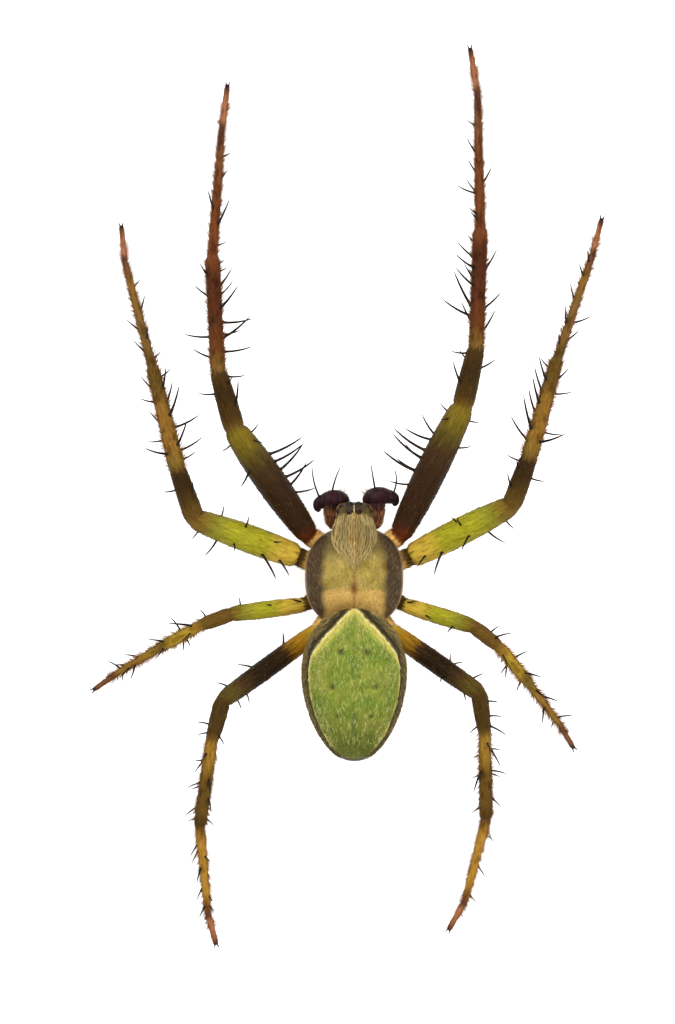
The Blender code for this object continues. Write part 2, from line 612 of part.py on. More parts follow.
def leg_joints(leg, side):
    """Joint centres from the femur's base to the tarsus's tip, from lengths, headings and heights."""
    sign = 1.0 if side == "left" else -1.0
    joints = [mirrored(leg_base[leg], side)]
    for length, heading, height in zip(leg_lengths[leg], *leg_pose[(leg, side)]):
        drop = height * mm - joints[-1][2]
        plan = math.sqrt((length * mm) ** 2 - drop ** 2)
        turn = math.radians(heading)
        joints.append(joints[-1] + np.array((sign * math.sin(turn) * plan, -math.cos(turn) * plan, drop)))
    return joints


def front_side(direction, side):
    """The level direction across a leg segment, towards the side that faces forwards."""
    across = unit(np.cross(direction, (0.0, 0.0, 1.0)))
    return across if side == "left" else -across


def radius_at(radii, s):
    """Radius at share s of a segment, on the quadratic through its three named radii."""
    near, middle, far = radii
    value = (1.0 - s) * (1.0 - 2.0 * s) * near + 4.0 * s * (1.0 - s) * middle + s * (2.0 * s - 1.0) * far
    return value * mm


def segment_spines(leg, segment, start, end, side):
    """The spines of one segment, on its surface; each curves towards the foot, up to its full lean."""
    along = unit(end - start)
    across = front_side(along, side)
    up = unit(np.cross(across, along))
    if up[2] < 0.0:
        up = -up
    spines = []
    for place, angle, length, lean in leg_spines[(leg, side)]:
        s = place - segment_number[segment]
        if not 0.0 < s < 1.0:
            continue
        turn = math.radians(angle)
        outwards = up * math.cos(turn) + across * math.sin(turn)
        radius = radius_at(leg_radii[leg][segment], s)
        reach = length * mm + 0.7 * radius
        tilt = math.radians(lean)
        aim = outwards * math.cos(tilt) + along * (math.sin(tilt) - spine_bend)
        root_point = start + (end - start) * s + outwards * radius * 0.3
        root_radius = spine_root_radius + spine_root_growth * length * mm
        spines.append(thorn("spine", root_point, aim, reach, root_radius, along * spine_bend))
    return spines


def joint_plane(before, after, point, offset):
    """The plane halfway between two segment directions, moved along by half the joint's gap."""
    normal = unit(unit(before) + unit(after))
    return point + normal * offset, normal


def make_segment(leg, segment, side, joints, index, colour):
    """One segment from joint to joint, its ends cut on the joints' planes so that they face."""
    start, end = joints[index], joints[index + 1]
    along = end - start
    first = joint_plane(joints[index] - joints[index - 1], along, start, joint_gap / 2.0)
    last = joint_plane(along, joints[index + 2] - end, end, -joint_gap / 2.0)
    shares = np.linspace(0.0, 1.0, 7 if segment in ("femur", "tibia") else 5)
    path = start + np.outer(shares, along)
    radii = [radius_at(leg_radii[leg][segment], s) for s in shares]
    name = "leg_%d_%s_%s" % (leg, side, segment)
    body = tube(name, path, radii, front_side(along, side), leg_sides, first, last)
    spines = segment_spines(leg, segment, start, end, side)
    if spines:
        combine(body, spines, "UNION")
    finish(body, colour)


def make_foot(leg, side, joints):
    """Metatarsus and tarsus in one node; the tarsus ends on a small flat at the floor."""
    start, ankle, tip = joints[3:6]
    first = joint_plane(start - joints[2], ankle - start, start, joint_gap / 2.0)
    s = np.linspace(0.0, 1.0, 6)
    t = np.linspace(0.0, 1.0, 7)[1:]
    dipped = tip - np.array((0.0, 0.0, tarsus_dip))
    path = np.vstack((start + np.outer(s, ankle - start), ankle + np.outer(t, dipped - ankle)))
    path[:, 2] = np.maximum(path[:, 2], sole_height)
    radii = [radius_at(leg_radii[leg]["metatarsus"], share) for share in s]
    radii += [radius_at(leg_radii[leg]["tarsus"], share) for share in t]
    body = tube("leg_%d_%s_foot" % (leg, side), path, radii, front_side(tip - start, side), 8, first,
                floor_z=0.0)
    finish(combine(body, segment_spines(leg, "metatarsus", start, ankle, side), "UNION"), "foot")


def coxa_start(leg):
    """The inner end of a coxa, a little outside the sternum's edge at its own height."""
    y = coxa_inner_y[leg]
    off = (np.array((0.0, y, coxa_inner_z)) - sternum_centre) / sternum_size
    edge = sternum_size[0] * math.sqrt(1.0 - off[1] ** 2 - off[2] ** 2)
    return np.array((edge + coxa_clearance, y, coxa_inner_z))


def make_leg(leg, side):
    """Coxa, femur, patella, tibia and foot of one leg."""
    joints = [mirrored(coxa_start(leg), side)] + leg_joints(leg, side)
    along = joints[1] - joints[0]
    last = joint_plane(along, joints[2] - joints[1], joints[1], -joint_gap / 2.0)
    shares = np.linspace(0.0, 1.0, 4)
    radii = [radius_at(leg_radii[leg]["coxa"], s) for s in shares]
    path = joints[0] + np.outer(shares, along)
    coxa = tube("leg_%d_%s_coxa" % (leg, side), path, radii, front_side(along, side), leg_sides, None, last)
    finish(coxa, "coxa")
    femur_colour = "green_femur" if leg in (2, 3) else "dark_femur"
    for index, (segment, colour) in enumerate((("femur", femur_colour), ("patella", "patella"),
                                               ("tibia", "tibia")), start=1):
        make_segment(leg, segment, side, joints, index, colour)
    make_foot(leg, side, joints[1:])


make_cephalothorax()
make_eyes()
make_abdomen()
make_pedicel()
make_spinnerets()
for body_side in ("left", "right"):
    make_chelicera(body_side)
    make_palp(body_side)
    for leg_number in (1, 2, 3, 4):
        make_leg(leg_number, body_side)

# The common parent brings the middle of the whole animal over the origin
corners = np.array([vert.co[:] for body in model.objects if body.type == "MESH" for vert in body.data.vertices])
middle_of_span = (corners.min(axis=0) + corners.max(axis=0)) / 2.0
root.location = (-middle_of_span[0], -middle_of_span[1], 0.0)
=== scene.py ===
# %% [markdown]
# # Dressing a green orb weaver
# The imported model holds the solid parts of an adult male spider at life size: a body of
# 9 mm in a leg span of 32 mm. This lesson gives it skin, markings, eyes, spines and hair.
# Nothing is moved or resized. Every shape below is worked out from the same named sizes
# as the solids, so that each piece lands where its solid is.

# %% Load the frame
import math
from functools import partial

import bpy
import numpy as np
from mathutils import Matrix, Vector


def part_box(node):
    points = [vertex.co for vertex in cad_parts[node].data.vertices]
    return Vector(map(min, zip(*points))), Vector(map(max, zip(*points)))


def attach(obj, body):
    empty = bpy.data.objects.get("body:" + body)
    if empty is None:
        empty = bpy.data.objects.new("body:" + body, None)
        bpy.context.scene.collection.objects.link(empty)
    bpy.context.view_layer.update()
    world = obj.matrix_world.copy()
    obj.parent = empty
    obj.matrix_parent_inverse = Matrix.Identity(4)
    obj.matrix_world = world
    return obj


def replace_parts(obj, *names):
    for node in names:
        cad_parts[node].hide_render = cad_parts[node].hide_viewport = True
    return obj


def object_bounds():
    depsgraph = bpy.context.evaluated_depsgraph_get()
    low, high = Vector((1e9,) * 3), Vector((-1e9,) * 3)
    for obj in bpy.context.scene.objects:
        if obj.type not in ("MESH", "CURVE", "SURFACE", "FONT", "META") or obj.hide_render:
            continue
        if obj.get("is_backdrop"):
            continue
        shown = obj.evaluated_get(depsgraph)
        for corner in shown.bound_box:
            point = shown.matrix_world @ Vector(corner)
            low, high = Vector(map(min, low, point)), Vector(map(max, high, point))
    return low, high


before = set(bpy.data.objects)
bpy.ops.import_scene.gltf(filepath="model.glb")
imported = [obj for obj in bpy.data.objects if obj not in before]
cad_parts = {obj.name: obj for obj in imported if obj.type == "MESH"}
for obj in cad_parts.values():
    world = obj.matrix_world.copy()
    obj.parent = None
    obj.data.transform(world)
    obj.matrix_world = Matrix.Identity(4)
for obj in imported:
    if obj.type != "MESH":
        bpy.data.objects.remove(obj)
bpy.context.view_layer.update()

mm = 0.001
print("solids:", len(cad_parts), "nodes")

# %% [markdown]
# ## One ruler for everything
# Body sizes are easiest to think of in millimetres, measured from the widest place of the
# carapace: x to the animal's left, y towards its tail, z up. The frame has its origin
# under the middle of the leg span instead. The front of the carapace tells how far apart
# the two are, so the sizes below need no second set of numbers.

# %% Body millimetres to frame metres
side_signs = {"left": 1.0, "right": -1.0}
head_front_y = -2.72
low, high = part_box("cephalothorax")
shift = np.array(((low.x + high.x) / 2.0, low.y - head_front_y * mm, 0.0))


def to_frame(points):
    """Frame metres = body millimetres times 0.001, plus the shift."""
    return np.asarray(points, dtype=float) * mm + shift


print("shift in millimetres:", np.round(shift / mm, 3))

# %% [markdown]
# ## The camera
# The animal was photographed from straight above, head up, with a long macro lens, which
# leaves almost no perspective. A camera 60 cm above a 3 cm animal does the same. Its lens
# follows from how many millimetres one pixel covers: the body is 258 pixels and 9 mm long.

# %% Camera
photo_width, photo_height = 675, 1024
pixel = 9.0 / 258.0
body_column, body_row = 354.2, 580.0
camera_distance = 600.0
body_level = 2.5
sensor = 36.0

camera_data = bpy.data.cameras.new("camera")
camera = bpy.data.objects.new("camera", camera_data)
bpy.context.scene.collection.objects.link(camera)
aim = ((body_column - photo_width / 2) * pixel, (photo_height / 2 - body_row) * pixel, body_level)
camera.location = to_frame(aim) + np.array((0.0, 0.0, camera_distance * mm))
camera.rotation_euler = (0.0, 0.0, math.pi)
camera_data.sensor_width = sensor
camera_data.lens = sensor * camera_distance / (photo_height * pixel)
camera_data.clip_start = 0.01
camera_data.clip_end = 10.0
bpy.context.scene.camera = camera
print("lens in millimetres:", round(camera_data.lens))

# %% [markdown]
# ## Studio light
# The photograph is lit softly from all round on a white ground. Two large softboxes and a
# pale room do that. The boxes are hidden from the camera, so that they can hang over the
# table without getting into the picture. The table top glows a little like a light table,
# which leaves the ground white with hardly a shadow.

# %% Lights and world
bpy.context.scene.view_settings.view_transform = "Standard"
room = bpy.data.worlds.new("room")
room.use_nodes = True
room.node_tree.nodes["Background"].inputs["Color"].default_value = (1.0, 0.99, 0.97, 1.0)
room.node_tree.nodes["Background"].inputs["Strength"].default_value = 0.62
bpy.context.scene.world = room


def softbox(name, place, size, power):
    """A round area light at a place in millimetres, turned towards the body."""
    data = bpy.data.lights.new(name, "AREA")
    data.shape = "DISK"
    data.size = size * mm
    data.energy = power
    light = bpy.data.objects.new(name, data)
    light.location = to_frame(place)
    bpy.context.scene.collection.objects.link(light)
    toward = to_frame((0.0, 0.0, body_level)) - np.array(light.location)
    turn = math.atan2(toward[1], toward[0])
    drop = math.atan2(math.hypot(toward[0], toward[1]), -toward[2])
    light.rotation_euler = (drop, 0.0, turn - math.pi / 2.0)
    light.visible_camera = False
    return light


softbox("key_box", (90.0, -120.0, 220.0), 150.0, 0.55)
softbox("fill_box", (-150.0, 60.0, 180.0), 180.0, 0.34)

# %% Mesh helpers


def full_turn(count):
    """So many equal steps round a circle, from 0, in radians."""
    return np.linspace(0.0, 2.0 * np.pi, count, endpoint=False)


def quadratic(near, middle, far, s):
    """The value at s of the quadratic through three values at 0, a half and 1."""
    return (1.0 - s) * (1.0 - 2.0 * s) * near + 4.0 * s * (1.0 - s) * middle + s * (2.0 * s - 1.0) * far


def blurred(values, width):
    """A moving average over an odd number of rows, twice, with both ends held in place."""
    kernel = np.ones(width) / width
    for _ in range(2):
        padding = ((width // 2, width // 2),) + ((0, 0),) * (values.ndim - 1)
        padded = np.pad(values, padding, mode="reflect", reflect_type="odd")
        values = np.apply_along_axis(np.convolve, 0, padded, kernel, "valid")
    return values


def xyz(x, y, z):
    """Points from three coordinates, each a number or an array."""
    return np.stack(np.broadcast_arrays(x, y, z), axis=-1)


def unit_rows(vectors):
    """Each vector divided by its length."""
    return vectors / np.linalg.norm(vectors, axis=-1, keepdims=True)


def ring_quads(rows, columns):
    """Quads between neighbouring rows of a grid whose columns close in a ring."""
    i = np.arange(rows - 1)[:, None]
    j = np.arange(columns)[None, :]
    a = i * columns + j
    b = i * columns + (j + 1) % columns
    return np.stack((a, b, b + columns, a + columns), axis=-1).reshape(-1, 4)


def put_mesh(name, points, quads, triangles, material, slot=None):
    """An object of body-millimetre points and faces, facing outwards, on the root body."""
    points = to_frame(points).reshape(-1, 3)
    split = np.concatenate((quads[:, (0, 1, 2)], quads[:, (0, 2, 3)], triangles))
    corner = points[split] - points[0]
    volume = np.einsum("ij,ij->", corner[:, 0], np.cross(corner[:, 1], corner[:, 2]))
    if volume < 0.0:
        quads, triangles = quads[:, ::-1], triangles[:, ::-1]
    mesh = bpy.data.meshes.new(name)
    mesh.from_pydata(points.tolist(), [], quads.tolist() + triangles.tolist())
    mesh.shade_smooth()
    mesh.materials.append(material)
    piece = bpy.data.objects.new(name, mesh)
    bpy.context.scene.collection.objects.link(piece)
    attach(piece, "root")
    return piece


def mark(piece, **marks):
    """Stores one number per vertex for each name, for the material to read."""
    for name, values in marks.items():
        attribute = piece.data.attributes.new(name, "FLOAT", "POINT")
        attribute.data.foreach_set("value", np.asarray(values, dtype=np.float32).ravel())


def skin(name, grid, material, slot=None, **marks):
    """A closed surface through a grid (rows, columns, xyz): rings joined, ends closed by fans."""
    rows, columns = grid.shape[:2]
    points = np.concatenate((grid.reshape(-1, 3), grid[:1].mean(axis=1), grid[-1:].mean(axis=1)))
    middle = np.full(columns, rows * columns)
    j = np.arange(columns)
    k = (j + 1) % columns
    end = (rows - 1) * columns
    fan_first = np.stack((k, j, middle), axis=-1)
    fan_last = np.stack((j + end, k + end, middle + 1), axis=-1)
    fans = np.concatenate((fan_first, fan_last))
    piece = put_mesh(name, points, ring_quads(rows, columns), fans, material, slot)
    for key, values in marks.items():
        values = np.broadcast_to(values, (rows, columns))
        mark(piece, **{key: np.concatenate((values.ravel(), (values[0].mean(), values[-1].mean())))})
    return piece


def with_normals(shape, step_u, step_v):
    """Makes a shape of two parameters also give its outward unit normals, from small steps."""
    def surface(u, v):
        along_u = shape(u + step_u, v) - shape(u - step_u, v)
        along_v = shape(u, v + step_v) - shape(u, v - step_v)
        return shape(u, v), unit_rows(np.cross(along_u, along_v))
    return surface


# %% Material helpers


def tint(code):
    """Linear red, green, blue and alpha from an everyday colour code."""
    parts = np.array([int(code[i:i + 2], 16) for i in (1, 3, 5)]) / 255.0
    linear = np.where(parts <= 0.04045, parts / 12.92, ((parts + 0.055) / 1.055) ** 2.4)
    return (*linear, 1.0)


def plug(made, socket, value):
    """Links a socket to another socket, or sets it to a value."""
    if isinstance(value, bpy.types.NodeSocket):
        made.node_tree.links.new(value, socket)
    else:
        socket.default_value = value


def new_material(name, colours=None, **sockets):
    """A Principled material: sockets by name, underscores for spaces, and what makes its colours."""
    made = bpy.data.materials.new(name)
    made.use_nodes = True
    shader = made.node_tree.nodes["Principled BSDF"]
    shader.inputs["Specular IOR Level"].default_value = 0.2
    for socket, value in sockets.items():
        shader.inputs[socket.replace("_", " ")].default_value = value
    if colours:
        plug(made, shader.inputs["Base Color"], colours(made))
    return made


def node(made, kind, inputs, **settings):
    """A shader node with its settings, its inputs linked or set."""
    new = made.node_tree.nodes.new("ShaderNode" + kind)
    for setting, value in settings.items():
        setattr(new, setting, value)
    for socket, value in inputs.items():
        plug(made, new.inputs[socket], value)
    return new


def mark_of(made, name):
    """A number stored on the piece's vertices."""
    return node(made, "Attribute", {}, attribute_name=name).outputs["Fac"]


def maths(made, operation, a, b=0.0):
    """A Math node of two numbers."""
    return node(made, "Math", {0: a, 1: b}, operation=operation).outputs[0]


def ramp(made, factor, stops):
    """Colours along a number; each stop is a place with a colour code or a grey level."""
    new = node(made, "ValToRGB", {"Fac": factor})
    elements = new.color_ramp.elements
    while len(elements) < len(stops):
        elements.new(0.5)
    for element, (place, colour) in zip(elements, stops):
        element.position = place
        element.color = tint(colour) if isinstance(colour, str) else (colour, colour, colour, 1.0)
    return new.outputs["Color"]


def mix(made, factor, a, b, blend="MIX"):
    """Two colours mixed by a number."""
    return node(made, "Mix", {0: factor, 6: a, 7: b}, data_type="RGBA", blend_type=blend).outputs[2]


def times(made, a, b):
    """Two colours multiplied."""
    return mix(made, 1.0, a, b, "MULTIPLY")


def swing(made, value, size):
    """A number from 0 to 1 turned into one round 0: (value - 0.5) size."""
    return maths(made, "MULTIPLY", maths(made, "SUBTRACT", value, 0.5), size)


def fade(made, name, *stops):
    """Grey levels or colours along a number stored on the vertices."""
    return ramp(made, mark_of(made, name), stops)


def stain(made, colour, name, code, share=1.0):
    """A colour with another one laid over it where a stored mark is 1, as strongly as the share."""
    factor = mark_of(made, name)
    if share < 1.0:
        factor = maths(made, "MULTIPLY", factor, share)
    return mix(made, factor, colour, tint(code))


def place(made, stretch=(1.0, 1.0, 1.0)):
    """The point on the piece in millimetres, stretched per axis."""
    spot = node(made, "TexCoord", {}).outputs["Object"]
    scale = tuple(1000.0 * share for share in stretch)
    return node(made, "Mapping", {"Vector": spot, "Scale": scale}).outputs["Vector"]


def noise(made, vector, scale, detail=3.0):
    """Smooth noise with so many features per millimetre."""
    inputs = {"Vector": vector, "Scale": scale, "Detail": detail, "Roughness": 0.55}
    return node(made, "TexNoise", inputs).outputs["Fac"]


def clouds(made, scale, detail, *stops):
    """Colours along a noise that is the same in all directions."""
    return ramp(made, noise(made, place(made), scale, detail), stops)


def bump(made, height, depth):
    """A bump of a height from 0 to 1 over a depth in millimetres."""
    new = node(made, "Bump", {"Height": height, "Distance": depth * mm, "Strength": 1.0})
    plug(made, made.node_tree.nodes["Principled BSDF"].inputs["Normal"], new.outputs["Normal"])


# %% The floor
floor_size = 1.2
floor_points = np.array(((-1, -1, 0), (1, -1, 0), (1, 1, 0), (-1, 1, 0))) * floor_size / 2.0
floor_mesh = bpy.data.meshes.new("floor")
floor_mesh.from_pydata(floor_points.tolist(), [], [(0, 1, 2, 3)])
floor = bpy.data.objects.new("floor", floor_mesh)
bpy.context.scene.collection.objects.link(floor)
floor_mesh.materials.append(new_material("pale_floor", Base_Color=tint("#F6F6F5"), Roughness=0.8,
                                         Emission_Color=(1.0, 1.0, 1.0, 1.0), Emission_Strength=0.60))
floor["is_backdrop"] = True

# %% [markdown]
# ## The carapace
# The front body is covered by one hard shield. Seen from above it is a narrow head in
# front of a round thorax. Two outlines, one for each, are blended by a soft maximum, the
# sixth root of the sum of sixth powers, so that no crease shows where they meet.

# %% Carapace shape
head_front_half_width, head_rear_half_width, head_rear_y = 0.60, 0.74, -1.15
head_height, head_brow_length, head_corner_length = 0.80, 0.60, 0.30
thorax_y, thorax_half_width, thorax_half_length, thorax_power, thorax_height = -0.10, 1.72, 1.72, 2.5, 0.95
rim_z, rim_depth = 2.05, 0.12
fovea_y, fovea_depth = 0.35, 0.10
furrow_depth, ray_depth, slit_depth = 0.030, 0.014, 0.030
carapace_rear_y = thorax_y + thorax_half_length


def soft_max(a, b, sharpness=6.0):
    """The larger of two lengths, with a rounded change from one to the other."""
    return (a ** sharpness + b ** sharpness) ** (1.0 / sharpness)


def rounded_start(distance, length, power):
    """0 at the start, rising on a superellipse arc to 1 at the given length."""
    share = np.clip(distance / length, 0.0, 1.0)
    return (1.0 - (1.0 - share) ** power) ** (1.0 / power)


def head_fade(y):
    """1 along the head, falling on an elliptic arc to 0 inside the thorax."""
    behind = np.clip((y - head_rear_y) / thorax_half_length, 0.0, 1.0)
    return np.sqrt(1.0 - behind ** 2)


def carapace_half_width(y):
    """Half width at y: straight head sides blended with a superellipse thorax."""
    along = (y - head_front_y) / (head_rear_y - head_front_y)
    head = head_front_half_width + (head_rear_half_width - head_front_half_width) * along
    head = head * rounded_start(y - head_front_y, head_corner_length, 3.0) * head_fade(y)
    reach = np.clip(1.0 - np.abs((y - thorax_y) / thorax_half_length) ** thorax_power, 0.0, 1.0)
    return soft_max(head, thorax_half_width * reach ** (1.0 / thorax_power))


def carapace_top(y):
    """Height of the midline over the rim: head and thorax arcs blended, less a dip at the fovea."""
    head = head_height * rounded_start(y - head_front_y, head_brow_length, 2.0) * head_fade(y)
    reach = np.clip(1.0 - ((y - thorax_y) / thorax_half_length) ** 2, 0.0, 1.0)
    dip = fovea_depth * np.exp(-((y - fovea_y) / (3.0 * fovea_depth)) ** 2)
    return soft_max(head, thorax_height * reach ** 0.75) - dip


def groove(x, y, x0, y0, x1, y1, width):
    """1 on the line between two points and falling off as a bell curve beside it, on both sides."""
    along_x, along_y = x1 - x0, y1 - y0
    share = np.clip(((np.abs(x) - x0) * along_x + (y - y0) * along_y) / (along_x ** 2 + along_y ** 2), 0, 1)
    off = np.hypot(np.abs(x) - x0 - share * along_x, y - y0 - share * along_y)
    return np.exp(-(off / width) ** 2)


def carapace_relief(x, y):
    """Furrows in millimetres: one V behind the head, and three pairs of rays from the fovea."""
    depth = furrow_depth * groove(x, y, 0.08, 0.30, 0.86, -1.25, 0.10)
    for ray_x, ray_y in ((1.35, -0.45), (1.40, 0.35), (0.95, 0.95)):
        depth = depth + ray_depth * groove(x, y, 0.20, 0.42, ray_x, ray_y, 0.08)
    return depth + slit_depth * groove(x, y, 0.0, 0.18, 0.0, 0.55, 0.05)


def carapace_dome(x, y):
    """Upper surface over x, y: rim + top(y) * sqrt(1 - (x / half width)^2), less the furrows."""
    share = np.clip(np.abs(x) / np.maximum(carapace_half_width(y), 1e-6), 0.0, 0.999)
    z = rim_z + carapace_top(y) * np.sqrt(1.0 - share ** 2) - carapace_relief(x, y) * (1.0 - share ** 4)
    return xyz(x, y, z)


carapace_surface = with_normals(carapace_dome, 0.01, 0.01)

rows = np.linspace(0.0, 1.0, 220)[1:-1]
y = head_front_y + (carapace_rear_y - head_front_y) * (1.0 - np.cos(np.pi * rows)) / 2.0
angle = full_turn(160)
grid_y, grid_angle = np.meshgrid(y, angle, indexing="ij")
width = carapace_half_width(grid_y)
grid_x = width * np.cos(grid_angle)
dome = carapace_dome(grid_x, grid_y)
under = rim_z + rim_depth * np.sin(grid_angle) * np.minimum(1.0, width / head_front_half_width)
carapace_grid = dome.copy()
carapace_grid[..., 2] = np.where(np.sin(grid_angle) >= 0.0, dome[..., 2], under)
print("carapace:", round(carapace_rear_y - head_front_y, 2), "mm long")

# %% [markdown]
# ## The carapace's colours
# An olive and gold middle runs back between two dark flanks, whose edges are a little
# ragged, and a thin pale line follows the rim. Behind the fovea, a short reddish slit,
# the middle turns tan. The masks are formulas of x and y, stored on the vertices, so the
# hairs can carry the same markings as the skin below them. Noise in the material breaks
# their edges up.

# %% Carapace markings and material
flank_x, flank_head_x, flank_fade = 1.06, 0.80, 0.25


def smooth_step(value, first, last):
    """0 before the first value, 1 after the last, and a smooth S between."""
    share = np.clip((value - first) / (last - first), 0.0, 1.0)
    return share * share * (3.0 - 2.0 * share)


def carapace_marks(x, y):
    """Masks from 0 to 1: flank, rim, tan rear, slit, eye patch, dark brow and golden strip."""
    share = np.abs(x) / np.maximum(carapace_half_width(y), 1e-6)
    edge = flank_x + (flank_head_x - flank_x) * smooth_step(-y, 0.80, 1.75)
    flank = smooth_step(np.abs(x), edge - flank_fade, edge + flank_fade)
    rim = smooth_step(share, 0.955, 0.99)
    rear = smooth_step(y - 0.04 * np.cos(5.5 * x), 0.20, 0.52)
    slit = np.exp(-(x / 0.12) ** 2 - ((y - 0.31) / 0.26) ** 2)
    line = np.exp(-(x / 0.03) ** 2) * smooth_step(y, -0.7, -0.3)
    brow = smooth_step(-y, 0.50, 1.20)
    strip = np.exp(-(x / 0.20) ** 4) * smooth_step(-y, 0.4, 1.0)
    eye_patch = np.exp(-(x / 0.46) ** 4 - ((y + 2.56) / 0.25) ** 4)
    return {"flank": flank, "rim": rim, "rear": rear, "slit": np.maximum(slit, 0.6 * line),
            "eye_patch": eye_patch, "brow": brow, "strip": strip}


def carapace_colours(made):
    """Gold and tan middle, dark flanks, pale rim and red slit, as one colour socket."""
    cloud = noise(made, place(made), 1.4, 4.0)
    ragged = swing(made, noise(made, place(made), 2.6, 4.0), 0.9)
    gold = ramp(made, cloud, ((0.32, "#87702E"), (0.50, "#9C8740"), (0.68, "#B39C55")))
    gold = stain(made, gold, "brow", "#66562B")
    gold = stain(made, gold, "strip", "#7E5F22")
    tan = ramp(made, cloud, ((0.32, "#AC8743"), (0.68, "#C7A35A")))
    rear = ramp(made, maths(made, "ADD", mark_of(made, "rear"), ragged), ((0.30, 0.0), (0.70, 1.0)))
    middle = mix(made, rear, gold, tan)
    dark = ramp(made, cloud, ((0.30, "#352616"), (0.70, "#54422E")))
    dark = stain(made, dark, "brow", "#3A271B", 0.7)
    flank = ramp(made, maths(made, "ADD", mark_of(made, "flank"), ragged), ((0.15, 0.0), (0.85, 1.0)))
    colour = mix(made, flank, middle, dark)
    colour = stain(made, colour, "rim", "#A98C66", 0.7)
    colour = stain(made, colour, "slit", "#6E3511")
    return stain(made, colour, "eye_patch", "#33261A")


def speckled_shield(made):
    """The shield's colours, each fine speckle a little darker or lighter."""
    return times(made, carapace_colours(made), clouds(made, 16.0, 2.0, (0.30, 0.78), (0.70, 1.12)))


carapace_paint = new_material("carapace_shell", speckled_shield, Roughness=0.42, Specular_IOR_Level=0.06)
bump(carapace_paint, noise(carapace_paint, place(carapace_paint), 22.0), 0.012)

carapace = skin("carapace", carapace_grid, carapace_paint, "carapace", **carapace_marks(grid_x, grid_y))
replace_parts(carapace, "cephalothorax")
print("carapace faces:", len(carapace.data.polygons))

# %% [markdown]
# ## The underside of the front body
# Below the shield lies a heart-shaped plate, the sternum, with the lip and two jaw plates
# in front of it, and soft pale skin between the plate, the legs and the shield's rim. All
# of them are rounded blobs: an ellipsoid whose outline is pushed in or out by a formula.

# %% Blobs


def blob(name, centre, size, material, slot, squareness=1.0, pinch=0.0, scallop=0.0, detail=48):
    """An ellipsoid: its outline narrows towards +y by pinch, and scallop adds eight small bays."""
    polar = np.linspace(0.0, np.pi, detail)[1:-1, None]
    turn = full_turn(detail * 2)[None, :]
    side = np.sin(polar) ** squareness
    wave = 1.0 - scallop * np.cos(8.0 * turn) * np.sin(polar) ** 2
    x = side * np.cos(turn) * wave
    z = side * np.sin(turn) * wave
    y = -np.cos(polar)
    x = x * (1.0 - pinch * (y + 1.0) / 2.0)
    grid = xyz(x, y, z) * np.array(size) + np.array(centre)
    return skin(name, grid, material, slot)


def plain_shell(name, dark, light, scale, rough, depth, **sockets):
    """A cuticle of two tones in clouds, with a fine grain for its bump."""
    made = new_material(name, lambda new: clouds(new, scale, 4.0, (0.30, dark), (0.70, light)),
                        Roughness=rough, **sockets)
    bump(made, noise(made, place(made), scale * 7.0, 2.0), depth)
    return made


plate_paint = plain_shell("sternum_plate", "#3E2A16", "#6B4A26", 2.0, 0.38, 0.010)
soft_paint = plain_shell("soft_skin", "#A9793C", "#D6A762", 1.6, 0.55, 0.015)
lip_paint = plain_shell("lip_plate", "#5A3517", "#93602E", 2.4, 0.38, 0.010)
blob("body_wall", (0.0, -0.05, 1.80), (1.42, 1.52, 0.34), soft_paint, "carapace", squareness=0.8)
blob("sternum", (0.0, 0.05, 1.72), (0.80, 1.30, 0.49), plate_paint, "carapace", squareness=0.75,
     pinch=0.35, scallop=0.04)
blob("lip", (0.0, -1.36, 1.52), (0.26, 0.26, 0.22), lip_paint, "carapace")
for side, sign in side_signs.items():
    blob("jaw_plate_" + side, (0.28 * sign, -1.62, 1.60), (0.22, 0.34, 0.38), lip_paint, "carapace")

# %% [markdown]
# ## The eyes
# Eight simple eyes stand on the front of the head: four in the middle on a dark patch, and
# a close pair at each corner. Each is a sphere sunk into the head by a third of its radius,
# near black and very smooth, so that only the softboxes show in it.

# %% Eyes
eyes = {
    "median_front": (0.150, -2.655, 0.135),
    "median_rear": (0.155, -2.390, 0.125),
    "side_front": (0.450, -2.580, 0.100),
    "side_rear": (0.560, -2.400, 0.100),
}
eye_sunk_share = 0.35
eye_tones = ((0.30, "#110B07"), (0.70, "#2C1E12"))
eye_paint = new_material("eye_bead", lambda made: clouds(made, 5.0, 3.0, *eye_tones), Roughness=0.10,
                         Specular_IOR_Level=0.15)


for name, (x, y, radius) in eyes.items():
    for side, sign in side_signs.items():
        spot, normal = carapace_surface(np.array(x * sign), np.array(y))
        centre = spot - normal * radius * eye_sunk_share
        bead = blob("bead_%s_%s" % (name, side), centre, (radius,) * 3, eye_paint, "eye", detail=32)
        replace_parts(bead, "eye_%s_%s" % (name, side))

# %% [markdown]
# ## The abdomen
# The abdomen is a soft oval bag, widest two fifths of the way back. A product of two
# powers, t to the a times (1 - t) to the b, has just that outline, and a third factor makes
# its end a little blunter. Small dimples mark where muscles pull on the skin from inside.

# %% Abdomen shape
abdomen_front_y, abdomen_length = 0.98, 5.34
abdomen_half_width, abdomen_half_depth = 1.81, 1.42
abdomen_front_z, abdomen_rear_z = 3.12, 2.78
abdomen_front_power, abdomen_rear_power = 0.40, 0.576
abdomen_front_lean, abdomen_bluntness = 0.90, 0.20
dimple_depth = 0.035
dimples = ((0.455, 2.48, 0.145), (0.745, 3.71, 0.130), (0.590, 4.74, 0.085))


def abdomen_share(t):
    """Size of the section at share t of the length, about 1 at the widest place."""
    widest = abdomen_front_power / (abdomen_front_power + abdomen_rear_power)
    t = np.clip(t, 1e-6, 1.0 - 1e-6)
    blunt = (1.0 + (abdomen_bluntness / (1.0 - t)) ** 2) ** 0.04
    return (t / widest) ** abdomen_front_power * ((1.0 - t) / (1.0 - widest)) ** abdomen_rear_power * blunt


